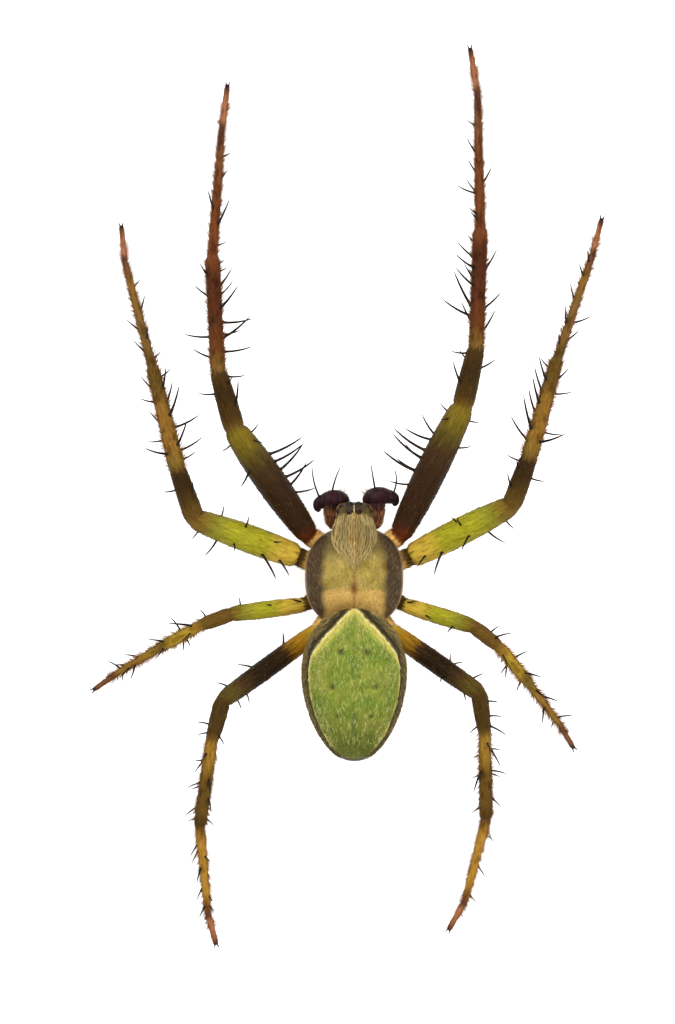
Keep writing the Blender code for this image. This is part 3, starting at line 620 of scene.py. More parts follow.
def dimple_mask(x, y, spread):
    """Bell curves round the three pairs of muscle dimples."""
    spots = [np.exp(-(((np.abs(x) - at_x) ** 2 + (y - at_y) ** 2) / (spread * size) ** 2) ** 1.5)
             for at_x, at_y, size in dimples]
    return np.maximum.reduce(spots)


def abdomen_shape(t, angle):
    """Ellipses along y sized by the two powers; the lower front leans back to the waist."""
    size = abdomen_share(t)
    x = abdomen_half_width * size * np.cos(angle)
    rise = abdomen_half_depth * size * np.sin(angle)
    low = ((1.0 - np.sin(angle)) / 2.0) ** 2
    lean = abdomen_front_lean * (1.0 - t) ** 3 * abdomen_half_depth * size * low
    y = abdomen_front_y + abdomen_length * t + lean
    top = np.clip(np.sin(angle), 0.0, 1.0)
    middle = abdomen_front_z + (abdomen_rear_z - abdomen_front_z) * t
    z = middle + rise - dimple_depth * top * dimple_mask(x, y, 1.1)
    return xyz(x, y, z)


abdomen_surface = with_normals(abdomen_shape, 0.002, 0.01)
t = (1.0 - np.cos(np.pi * np.linspace(0.0, 1.0, 260)[1:-1])) / 2.0
angle = full_turn(260)
grid_t, grid_angle = np.meshgrid(t, angle, indexing="ij")
abdomen_grid = abdomen_shape(grid_t, grid_angle)
print("abdomen:", abdomen_length, "mm long")

# %% [markdown]
# ## The abdomen's leaf mark
# The green field on the back is called a folium. In front its edge runs straight from the
# tip to the shoulders with a broad yellow border, then it follows the outline as a thin
# pale line, with a dark rim outside it. So the one number that matters is the distance
# from the field's edge. It is worked out here for skin and hair alike, and the material
# turns it into rim, border and green.

# %% Abdomen markings
folium_slope, folium_share, folium_stretch, folium_middle = 0.98, 0.885, 1.030, 0.41


def folium_half_width(y):
    """The smaller of a line from the front tip and a smaller copy of the outline, rounded."""
    t = (y - abdomen_front_y) / abdomen_length
    line = folium_slope * np.clip(y - abdomen_front_y, 0.0, None) + 0.08
    t = t + (folium_stretch - 1.0) * np.clip(t - folium_middle, 0.0, None)
    sides = folium_share * abdomen_half_width * abdomen_share(t)
    return 1.0 / (1.0 / line ** 8 + 1.0 / np.maximum(sides, 1e-3) ** 8) ** (1.0 / 8.0)


def abdomen_marks(t, angle):
    """Distance inside the green field's edge over its border's width, dimples, midline and belly."""
    x, y, _ = np.moveaxis(abdomen_shape(t, angle), -1, 0)
    step = 0.01
    slope = (folium_half_width(y + step) - folium_half_width(y - step)) / (2.0 * step)
    inside = (folium_half_width(y) - np.abs(x)) / np.sqrt(1.0 + np.minimum(np.abs(slope), 3.0) ** 2)
    inside = np.where(np.sin(angle) > 0.0, inside, -0.3)
    border = 0.055 + 0.19 * (1.0 - smooth_step(y, 2.2, 3.0))
    middle = np.exp(-(x / 0.09) ** 2) * smooth_step(y, 4.3, 4.8) * (1.0 - smooth_step(y, 5.7, 6.0))
    streak = np.exp(-(x / 0.05) ** 2) * np.exp(-((y - 3.1) / 0.7) ** 4)
    belly = smooth_step(-np.sin(angle), 0.25, 0.7)
    lungs = np.exp(-((np.abs(x) - 0.62) / 0.30) ** 4 - ((y - 2.15) / 0.38) ** 4) * belly
    return {"inside": np.clip(inside / border, -3.0, 6.0) / 10.0 + 0.5, "dimple": dimple_mask(x, y, 0.85),
            "middle": np.maximum(middle, 0.5 * streak), "belly": belly, "lungs": lungs,
            "back": (y - abdomen_front_y) / abdomen_length}


def inside_stop(borders):
    """Where a distance in border widths lies on the stored mark."""
    return borders / 10.0 + 0.5


def abdomen_colours(made):
    """The abdomen's colours as one colour socket, from the stored marks and noise."""
    cloud = noise(made, place(made), 1.3, 5.0)
    fine = noise(made, place(made, (1.0, 0.35, 1.0)), 9.0)
    wobble = swing(made, noise(made, place(made), 4.5), 0.07)
    green = ramp(made, cloud, ((0.36, "#566F20"), (0.47, "#667B26"), (0.56, "#76812D"), (0.66, "#858734")))
    green = mix(made, fade(made, "back", (0.62, 0.0), (0.90, 0.75)), green, tint("#4C4F1A"))
    green = mix(made, ramp(made, fine, ((0.56, 0.0), (0.72, 0.40))), green, tint("#B0B052"))
    green = stain(made, green, "middle", "#4A5E28")
    edge = maths(made, "ADD", mark_of(made, "inside"), wobble)

    def across(*stops):
        """Levels or colours across the edge, each at a distance in border widths."""
        return ramp(made, edge, [(inside_stop(borders), value) for borders, value in stops])

    border = across((-0.08, "#7D7440"), (0.06, "#D6C984"), (0.25, "#CBBD69"), (0.52, "#BFB355"),
                    (1.40, "#8B9433"))
    worn = clouds(made, 2.2, 2.0, (0.46, 0.0), (0.58, 0.85))
    worn = maths(made, "MULTIPLY", worn, fade(made, "back", (0.35, 0.0), (0.45, 1.0)))
    closed = fade(made, "back", (0.86, 0.0), (0.93, 1.0))
    border = mix(made, maths(made, "MAXIMUM", worn, closed), border, green)
    field = mix(made, across((0.8, 0.0), (1.5, 1.0)), border, green)
    rim = ramp(made, fine, ((0.30, "#30271A"), (0.70, "#605239")))
    rim = mix(made, across((-1.1, 0.0), (-0.7, 0.75)), rim, tint("#221A11"))
    belly = ramp(made, cloud, ((0.35, "#4A3B26"), (0.65, "#6E5C38")))
    rim = mix(made, mark_of(made, "belly"), rim, belly)
    rim = stain(made, rim, "lungs", "#A57E3C")
    colour = mix(made, across((-0.30, 0.0), (0.05, 1.0)), rim, field)
    return stain(made, colour, "dimple", "#45401F")


def abdomen_relief(made):
    """A fine lengthwise grain, and folds across the rear end: sin(300 t) where they show."""
    grain = noise(made, place(made, (1.0, 0.4, 1.0)), 14.0)
    waves = maths(made, "SINE", maths(made, "MULTIPLY", mark_of(made, "back"), 300.0))
    folds = maths(made, "MULTIPLY", waves, fade(made, "back", (0.84, 0.0), (0.92, 0.5)))
    return maths(made, "ADD", grain, folds)


abdomen_paint = new_material("abdomen_skin", abdomen_colours, Roughness=0.5, Specular_IOR_Level=0.08)
bump(abdomen_paint, abdomen_relief(abdomen_paint), 0.02)
abdomen = skin("abdomen_skin", abdomen_grid, abdomen_paint, "abdomen", **abdomen_marks(grid_t, grid_angle))
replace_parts(abdomen, "abdomen")

# %% [markdown]
# ## Limbs
# Legs, palps, jaws, waist and spinnerets are all tubes of changing radius along a bent
# line. The line joins the joint centres and is blurred a little, so that each bend turns
# round. The radius of a segment is the quadratic through its near, middle and far values,
# pinched where two segments meet, since soft skin folds in there.

# %% Limb maker
limb_step, fine_step = 0.045, 0.02


def make_limb(joints, radii, side, pinch=0.16, fold=0.08, bend_rows=7, end_radius=None, step=limb_step):
    """Rows of a tube: reach, centre, up, across, radius, and along, which counts segments."""
    joints = np.array(joints, dtype=float)
    bends = np.concatenate(([0.0], np.cumsum(np.linalg.norm(np.diff(joints, axis=0), axis=1))))
    reach = np.linspace(0.0, bends[-1], max(12, int(bends[-1] / step)))
    centre = np.stack([np.interp(reach, bends, joints[:, k]) for k in range(3)], axis=-1)
    centre = blurred(centre, bend_rows)
    along = np.interp(reach, bends, np.arange(len(bends)))
    segment = np.minimum(along.astype(int), len(bends) - 2)
    s = along - segment
    radius = quadratic(*np.array(radii, dtype=float)[segment].T, s)
    for bend in bends[1:-1]:
        radius = radius * (1.0 - pinch * np.exp(-((reach - bend) / fold) ** 2))
    radius = blurred(radius, 3)
    if end_radius:
        left = np.clip((bends[-1] - reach) / end_radius, 0.0, 1.0)
        radius = radius * np.sqrt(1.0 - (1.0 - left) ** 2) + 1e-4
    tangent = unit_rows(np.gradient(centre, axis=0))
    upright = np.abs(tangent[:, 2:3]) > 0.95
    axis = np.where(upright, (0.0, 1.0, 0.0), (0.0, 0.0, 1.0))
    across = unit_rows(np.cross(tangent, axis)) * side_signs[side]
    up = unit_rows(np.cross(across, tangent)) * side_signs[side]
    return {"reach": reach, "centre": centre, "up": up, "across": across, "radius": radius, "along": along}


def limb_surface(limb):
    """Point = centre + radius * (cos turn * up + sin turn * across), with that direction as normal."""
    def surface(reach, turn):
        def at(values):
            return np.interp(reach, limb["reach"], values)
        centre, up, across = (np.stack([at(limb[key][:, k]) for k in range(3)], axis=-1)
                              for key in ("centre", "up", "across"))
        normal = unit_rows(np.cos(turn)[..., None] * up + np.sin(turn)[..., None] * across)
        return centre + at(limb["radius"])[..., None] * normal, normal
    return surface


def limb_grid(limb, columns):
    """The limb's surface at each of its rows, and the row and turn of each grid point."""
    reach, turn = np.meshgrid(limb["reach"], full_turn(columns),
                              indexing="ij")
    return limb_surface(limb)(reach, turn)[0], reach, turn


# %% Waist and spinnerets
waist_paint = plain_shell("waist_skin", "#5A3B1E", "#8A5F33", 3.0, 0.5, 0.01)
waist = make_limb(((0.0, 1.50, 1.66), (0.0, 1.70, 1.80), (0.0, 1.98, 2.04)),
                  ((0.22, 0.19, 0.17), (0.17, 0.19, 0.21)), "left", step=0.03)
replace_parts(skin("waist_skin", limb_grid(waist, 40)[0], waist_paint, "waist"), "pedicel")

spinneret_y, spinneret_base = 5.42, (0.42, 0.36, 0.14)
spinneret_length = 0.46
spinner_paint = plain_shell("spinneret_skin", "#3A2615", "#6B4A2A", 4.0, 0.5, 0.01)


def belly_z(y):
    """Height of the abdomen's lower midline at y."""
    t = (y - abdomen_front_y) / abdomen_length
    return abdomen_front_z + (abdomen_rear_z - abdomen_front_z) * t - abdomen_half_depth * abdomen_share(t)


under_tilt = math.atan2(belly_z(spinneret_y + 0.1) - belly_z(spinneret_y - 0.1), 0.2)
rearward = np.array((0.0, math.cos(under_tilt), math.sin(under_tilt)))
downward = np.array((0.0, math.sin(under_tilt), -math.cos(under_tilt)))
spin_centre = np.array((0.0, spinneret_y, belly_z(spinneret_y))) + downward * 0.12
mound = blob("spinner_mound", spin_centre, spinneret_base, spinner_paint, "spinneret",
             squareness=0.8)
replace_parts(mound, "spinnerets")
for pair, (along, share) in enumerate(((-0.55, 1.0), (0.05, 0.75), (0.55, 1.05))):
    for side, sign in side_signs.items():
        out = np.array((sign, 0.0, 0.0))
        foot = spin_centre + out * 0.20 + rearward * along * spinneret_base[1]
        aim = unit_rows(downward + rearward * (0.45 + 0.3 * along) + out * 0.10)
        length = spinneret_length * share
        cone = make_limb((foot, foot + aim * length * 0.7, foot + aim * length),
                         ((0.15, 0.15, 0.12), (0.11, 0.09, 0.07)), side,
                         pinch=0.10, fold=0.04, bend_rows=3, end_radius=0.06, step=fine_step)
        skin("spinneret_%d_%s" % (pair + 1, side), limb_grid(cone, 24)[0], spinner_paint, "spinneret")

# %% [markdown]
# ## Jaws
# Two stout jaws hang under the front of the head, each with a fang folded inwards at its
# lower end. Their section is an upright oval, so the tube's side and depth differ.

# %% Jaws
jaw_x, jaw_y, jaw_top_z = 0.235, -2.20, 1.86
jaw_half_width, jaw_half_depth, jaw_length = 0.19, 0.26, 0.84
jaw_paint = plain_shell("jaw_shell", "#3B1A0C", "#6E3417", 2.5, 0.3, 0.008)
fang_points = ((0.24, -2.28, 1.10), (0.24, -2.24, 0.92), (0.18, -2.16, 0.84), (0.08, -2.08, 0.82))
fang_radii = ((0.09, 0.085, 0.08), (0.075, 0.065, 0.05), (0.045, 0.03, 0.012))
fang_paint = plain_shell("fang_shell", "#120805", "#3A160B", 5.0, 0.15, 0.003)
for side, sign in side_signs.items():
    mirror = np.array((sign, 1.0, 1.0))
    s = np.linspace(0.0, 1.0, 60)[:, None]
    turn = full_turn(48)[None, :]
    rounded_ends = np.sqrt(1.0 - (2.0 * np.abs(s - 0.5)) ** 10)
    size = (1.0 - 0.5 * s ** 3) * rounded_ends * (0.92 + 0.12 * np.sin(np.pi * s))
    x = jaw_x - 0.010 * s + jaw_half_width * size * np.cos(turn)
    y = jaw_y - 0.10 * s + jaw_half_depth * size * np.sin(turn) - 0.03 * np.sin(np.pi * s)
    jaw = skin("jaw_" + side, xyz(x, y, jaw_top_z - jaw_length * s) * mirror, jaw_paint, "jaw")
    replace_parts(jaw, "chelicera_" + side)
    fang = make_limb(np.array(fang_points) * mirror, fang_radii, side, pinch=0.0, bend_rows=3, step=fine_step)
    skin("fang_" + side, limb_grid(fang, 20)[0], fang_paint, "jaw")

# %% [markdown]
# ## Palps
# An adult male's palps end in big bulbs, which show as two dark caps in front of the
# head. Each cap is an oval whose ends are bent back, the outer one into a hook. The bend
# is a shift in y that grows with the square of the distance from the middle.

# %% Palps
palp_points = ((0.73, -1.84, 1.48), (0.78, -2.02, 1.56), (0.79, -2.20, 1.62), (0.78, -2.50, 1.70),
               (0.77, -2.72, 1.74))
palp_radii = ((0.14, 0.17, 0.20), (0.20, 0.22, 0.23), (0.23, 0.26, 0.26), (0.26, 0.28, 0.28))
hook_line = ((0.30, 0.01, 0.02), (0.52, 0.12, 0.02), (0.55, 0.31, -0.02), (0.44, 0.40, -0.04))
hook_radii = ((0.20, 0.20, 0.18), (0.18, 0.16, 0.13), (0.12, 0.10, 0.06))
cap_half_length, cap_half_depth, cap_half_height, cap_bend, cap_hook = 0.60, 0.30, 0.36, 0.10, 0.13
palp_caps = {"left": (0.76, -2.84, 1.72, 4.0), "right": (0.87, -2.95, 1.72, -6.0)}


def palp_colours(made):
    """Red-brown, darker and more purple towards the front, with lengthwise stripes."""
    stripes = noise(made, place(made, (1.0, 0.10, 1.0)), 9.0, 1.0)
    red = ramp(made, stripes, ((0.36, "#34180F"), (0.52, "#63351F"), (0.68, "#8F5C3C")))
    dark = ramp(made, stripes, ((0.35, "#1A0E12"), (0.65, "#361B20")))
    return mix(made, mark_of(made, "front"), red, dark)


palp_paint = new_material("palp_shell", palp_colours, Roughness=0.45, Specular_IOR_Level=0.06)
bump(palp_paint, noise(palp_paint, place(palp_paint, (1.0, 0.3, 1.0)), 9.0, 2.0), 0.010)


def palp_front(y):
    """How far towards the dark front of the cap a point is, from 0 to 1."""
    return smooth_step(-y, 2.16, 2.66)


def cap_front(polar, y):
    """The same for the cap, whose two ends are dark right round."""
    return np.maximum(palp_front(y), smooth_step(np.abs(np.cos(polar)), 0.25, 0.60))


def cap_points(side, outward, back, rise):
    """Points of a cap from how far out, back and up they lie from its middle, turned as the cap is."""
    sign = side_signs[side]
    x0, y0, z0, turn = palp_caps[side]
    spin = math.radians(turn)
    x = x0 + outward * math.cos(spin) - back * math.sin(spin)
    y = y0 + outward * math.sin(spin) + back * math.cos(spin)
    return xyz(sign * x, y, z0 + rise)


def cap_shape(side):
    """A blob stretched sideways by u, bent back by bend u^2, and hook u^3 more on the outer side."""
    def shape(polar, around):
        u = -np.cos(polar)
        girth = np.sin(polar) ** 0.75 * (1.0 + 0.05 * np.sin(3.0 * around + 4.0 * u))
        bend = cap_bend * u ** 2 + cap_hook * np.clip(u, 0.0, 1.0) ** 3
        back = cap_half_depth * girth * np.cos(around) + bend
        return cap_points(side, cap_half_length * u, back, cap_half_height * girth * np.sin(around))
    return shape


palp_stalks = {}
for side, sign in side_signs.items():
    mirror = np.array((sign, 1.0, 1.0))
    stalk = make_limb(np.array(palp_points) * mirror, palp_radii, side, pinch=0.06, fold=0.06,
                      bend_rows=5, step=fine_step)
    palp_stalks[side] = stalk
    grid = limb_grid(stalk, 40)[0]
    piece = skin("palp_stalk_" + side, grid, palp_paint, "palp", front=palp_front(grid[..., 1]))
    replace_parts(piece, "palp_" + side)
    polar, around = np.meshgrid(np.linspace(0.0, np.pi, 90)[1:-1],
                                full_turn(72), indexing="ij")
    grid = cap_shape(side)(polar, around)
    piece = skin("palp_cap_" + side, grid, palp_paint, "palp_bulb", front=cap_front(polar, grid[..., 1]))
    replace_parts(piece, "palp_bulb_" + side)
    hook = make_limb(cap_points(side, *np.array(hook_line).T), hook_radii, side, pinch=0.0,
                     bend_rows=5, end_radius=0.05, step=fine_step)
    grid = limb_grid(hook, 32)[0]
    skin("palp_hook_" + side, grid, palp_paint, "palp_bulb", front=np.ones(grid.shape[:2]))

# %% [markdown]
# ## Where the legs stand
# The pose is four pairs of legs, each given by its segment lengths, by the heading of
# every segment seen from above, and by the height of every joint. From those three, each
# joint follows from the one before: the height sets the drop, and what is left of the
# length lies along the heading.

# %% Leg joints
leg_base = {1: (1.60, -1.57, 1.70), 2: (2.03, -0.84, 1.65), 3: (1.73, 0.87, 1.65), 4: (1.27, 1.78, 1.70)}
leg_lengths = {
    1: (5.10, 2.14, 4.20, 4.98, 1.98),
    2: (4.50, 1.87, 3.89, 4.24, 1.71),
    3: (2.86, 1.15, 2.02, 2.14, 1.31),
    4: (4.33, 1.50, 3.17, 3.33, 1.52),
}
leg_pose = {
    (1, "left"): ((35, 16, 3, 356, 353), (4.20, 4.45, 3.15, 1.05, 0.12)),
    (1, "right"): ((26, 13, 2, 359, 351), (2.85, 3.15, 2.40, 0.95, 0.12)),
    (2, "left"): ((70, 19, 14, 15, 6), (4.15, 4.25, 2.95, 1.00, 0.12)),
    (2, "right"): ((63, 20, 16, 19, 15), (3.95, 4.35, 2.75, 0.85, 0.12)),
    (3, "left"): ((97, 110, 119, 121, 125), (2.90, 3.10, 2.00, 0.75, 0.12)),
    (3, "right"): ((107, 128, 141, 143, 149), (3.00, 3.05, 1.90, 0.75, 0.12)),
    (4, "left"): ((126, 165, 172, 185, 194), (3.10, 3.25, 2.20, 0.85, 0.12)),
    (4, "right"): ((125, 172, 179, 194, 209), (3.85, 3.40, 2.35, 0.85, 0.12)),
}
leg_sides = [(leg, side) for side in side_signs for leg in leg_base]
sternum_centre, sternum_size = np.array((0.0, 0.05, 1.72)), np.array((0.80, 1.32, 0.50))
coxa_inner_y, coxa_inner_z, coxa_clearance = {1: -0.93, 2: -0.36, 3: 0.36, 4: 0.96}, 1.55, 0.16


def coxa_start(leg):
    """The inner end of a coxa, a little outside the sternum's edge at its own height."""
    y = coxa_inner_y[leg]
    off = (np.array((0.0, y, coxa_inner_z)) - sternum_centre) / sternum_size
    return sternum_size[0] * math.sqrt(1.0 - off[1] ** 2 - off[2] ** 2) + coxa_clearance, y, coxa_inner_z


def leg_joints(leg, side):
    """Joint centres from the coxa's inner end to the tarsus's tip."""
    sign = side_signs[side]
    joints = [np.array(point) * (sign, 1.0, 1.0) for point in (coxa_start(leg), leg_base[leg])]
    for length, heading, height in zip(leg_lengths[leg], *leg_pose[(leg, side)]):
        drop = height - joints[-1][2]
        plan = math.sqrt(length ** 2 - drop ** 2)
        turn = math.radians(heading)
        joints.append(joints[-1] + (sign * math.sin(turn) * plan, -math.cos(turn) * plan, drop))
    return joints


print("first left leg:", round(sum(leg_lengths[1]), 1), "mm from femur to claw")

# %% [markdown]
# ## Leg skins
# One closed tube runs the whole length of each leg, so no seam shows at the joints. The
# femora are the thickest segments, and the tarsi end less than 0.2 mm thick.
# Colour runs in bands along a leg, which a colour ramp over the distance paints best. The
# distance is counted in segments: 1 is the femur's base, 2 the knee, 3 the tibia's base.
# Each stop of a band list is a distance and the name of a colour.

# %% Leg sizes and colours
leg_radii = {
    1: ((0.30, 0.33, 0.35), (0.38, 0.54, 0.41), (0.37, 0.36, 0.29), (0.26, 0.25, 0.26),
        (0.175, 0.14, 0.105), (0.096, 0.092, 0.087)),
    2: ((0.28, 0.31, 0.34), (0.42, 0.49, 0.36), (0.35, 0.34, 0.29), (0.30, 0.26, 0.23),
        (0.157, 0.13, 0.105), (0.09, 0.087, 0.085)),
    3: ((0.25, 0.26, 0.26), (0.245, 0.30, 0.26), (0.25, 0.25, 0.22), (0.19, 0.19, 0.18),
        (0.14, 0.12, 0.096), (0.10, 0.09, 0.075)),
    4: ((0.26, 0.28, 0.29), (0.30, 0.355, 0.30), (0.29, 0.28, 0.22), (0.20, 0.22, 0.22),
        (0.166, 0.14, 0.11), (0.105, 0.10, 0.09)),
}
palette = dict(
    cream="#D6A759", rust="#5A2611", bark="#301E10", umber="#3C2914", fern="#4E4115", moss="#6B5A17",
    walnut="#2F1F0A", chestnut="#3F2C0D", saddle="#634516", brick="#5A3013", russet="#4B2510",
    sienna="#663719", hazel="#70482C", wine="#583527", copper="#905A3C", tip="#2C1C17",
    honey="#BA9C38", lime="#958F21", leaf="#7F7A24", drab="#71591F", clay="#5A4217", amber="#8A6823",
    tan="#705126", pitch="#211609", gold="#A0741A", hay="#7F5B22", gilt="#9C7F24", brass="#A67B2C",
    rose="#A36A46", bronze="#7B5820",
)
leg_bands = {
    1: """
        0.00 cream, 0.84 cream, 0.90 rust, 1.01 rust, 1.10 bark, 1.48 bark, 1.68 umber, 1.79 fern,
        1.92 moss, 1.99 moss, 2.06 clay, 2.20 chestnut, 2.66 walnut, 2.97 chestnut, 3.02 tan,
        3.07 saddle, 3.18 brick, 3.46 russet, 3.84 russet, 3.96 sienna, 4.50 sienna, 4.80 hazel,
        4.92 wine, 5.06 wine, 5.22 rose, 5.75 copper, 5.93 tip""",
    2: """
        0.00 cream, 0.66 cream, 0.82 chestnut, 1.00 chestnut, 1.06 honey, 1.22 honey, 1.36 lime,
        1.68 lime, 1.82 leaf, 1.96 drab, 2.06 clay, 2.35 chestnut, 2.66 walnut, 2.90 walnut, 2.98 clay,
        3.05 drab, 3.20 hay, 3.35 bronze, 3.55 bronze, 3.75 clay, 4.06 clay, 4.20 tan, 4.50 tan,
        4.75 hay, 4.94 hazel, 5.06 wine, 5.25 rose, 5.75 copper, 5.93 tip""",
    3: """
        0.00 cream, 0.64 cream, 0.80 chestnut, 1.01 chestnut, 1.07 honey, 1.28 honey, 1.48 lime,
        1.68 lime, 1.82 leaf, 1.95 moss, 2.06 clay, 2.92 clay, 3.06 amber, 3.20 gilt, 3.68 gilt,
        3.84 drab, 4.06 drab, 4.22 amber, 4.50 hay, 4.80 amber, 4.94 hay, 5.10 wine, 5.40 hazel,
        5.75 hazel, 5.93 tip""",
    4: """
        0.00 cream, 0.90 cream, 1.02 honey, 1.16 gold, 1.24 gold, 1.36 bark, 1.50 pitch, 1.68 pitch,
        1.80 umber, 1.93 fern, 2.04 chestnut, 2.80 chestnut, 2.94 clay, 3.05 amber, 3.22 amber,
        3.46 clay, 3.80 clay, 3.96 chestnut, 4.04 hay, 4.20 brass, 4.80 brass, 4.96 sienna, 5.06 wine,
        5.25 rose, 5.75 copper, 5.93 tip""",
}
band_count = 6.0
smudges = {1: 0.7, 2: 0.6, 3: 0.5, 4: 0.6}


def leg_colours(made, leg):
    """Bands along the leg with uneven edges, smudged on the outer segments, and painted shade on the sides
    and underside.
    """
    upness = mark_of(made, "upness")
    around = node(made, "CombineXYZ", {0: upness, 1: mark_of(made, "frontness"), 2: mark_of(made, "reach")})

    def patches(across, lengthwise, scale):
        """Noise on the leg's skin, stretched more one way than the other."""
        spot = {"Vector": around.outputs[0], "Scale": (across, across, lengthwise)}
        return noise(made, node(made, "Mapping", spot).outputs[0], scale)

    streaks = patches(3.2, 0.9, 2.2)
    spot = maths(made, "ADD", mark_of(made, "along"), swing(made, streaks, 0.035))
    stops = [stop.split() for stop in leg_bands[leg].split(",")]
    bands = ramp(made, spot, [(float(place) / band_count, palette[name]) for place, name in stops])
    shade = ramp(made, patches(6.0, 0.9, 3.0), ((0.30, 0.62), (0.50, 1.0), (0.70, 1.25)))
    colour = times(made, bands, shade)
    outer = fade(made, "along", (2.95 / band_count, 0.0), (3.15 / band_count, smudges[leg]))
    smudge = ramp(made, patches(1.5, 1.6, 1.6), ((0.50, 0.0), (0.60, 1.0)))
    dim = maths(made, "MULTIPLY", smudge, outer)
    colour = mix(made, dim, colour, times(made, colour, tint("#8C7A70")))
    # Painted shade: the sides and underside are darkened with a greyish brown, fading out towards the top, so
    # the leg looks round.
    side = ramp(made, upness, ((0.30, 1.0), (0.60, 0.55), (0.85, 0.0)))
    return mix(made, side, colour, times(made, colour, tint("#B4A093")))


leg_paints = {}
for leg in leg_base:
    made = new_material("leg_%d_shell" % leg, partial(leg_colours, leg=leg), Roughness=0.45,
                        Specular_IOR_Level=0.04)
    bump(made, noise(made, place(made), 18.0), 0.012)
    leg_paints[leg] = made

# %% Leg skins
claw_room = 0.15
leg_slots = {1: "dark_femur", 2: "green_femur", 3: "green_femur", 4: "dark_femur"}
node_segments = ("coxa", "femur", "patella", "tibia", "foot")
limbs = {}


def leg_marks(limb, reach, turn):
    """What the leg colours read: place along the leg, the side that faces up or forwards, distance."""
    along = np.interp(reach, limb["reach"], limb["along"])
    return {"along": along / band_count, "upness": np.cos(turn) * 0.5 + 0.5,
            "frontness": np.sin(turn) * 0.5 + 0.5, "reach": reach}


for leg, side in leg_sides:
    joints = leg_joints(leg, side)
    last = joints[6] - joints[5]
    joints[6] = joints[5] + last * (1.0 - claw_room / np.linalg.norm(last))
    limb = make_limb(joints, leg_radii[leg], side, end_radius=0.08)
    limbs[(leg, side)] = limb
    grid, reach, turn = limb_grid(limb, 36)
    piece = skin("skin_leg_%d_%s" % (leg, side), grid, leg_paints[leg], leg_slots[leg],
                 **leg_marks(limb, reach, turn))
    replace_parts(piece, *("leg_%d_%s_%s" % (leg, side, name) for name in node_segments))
print("leg skins:", len(limbs))

# %% [markdown]
# ## Spines
# Long black spines stand on both sides of the legs, longest inside the front femora. Each
# grows out of a small dark socket, starts almost upright, and bends towards the foot as
# it tapers. No two legs carry quite the same set, so each leg has its own list. It gives
# four numbers a spine: the place (1 is the femur's base, 2 the knee, and so on), the angle
# round the leg (0 is up, 90 the front side), the length in millimetres and the lean
# towards the foot in degrees.

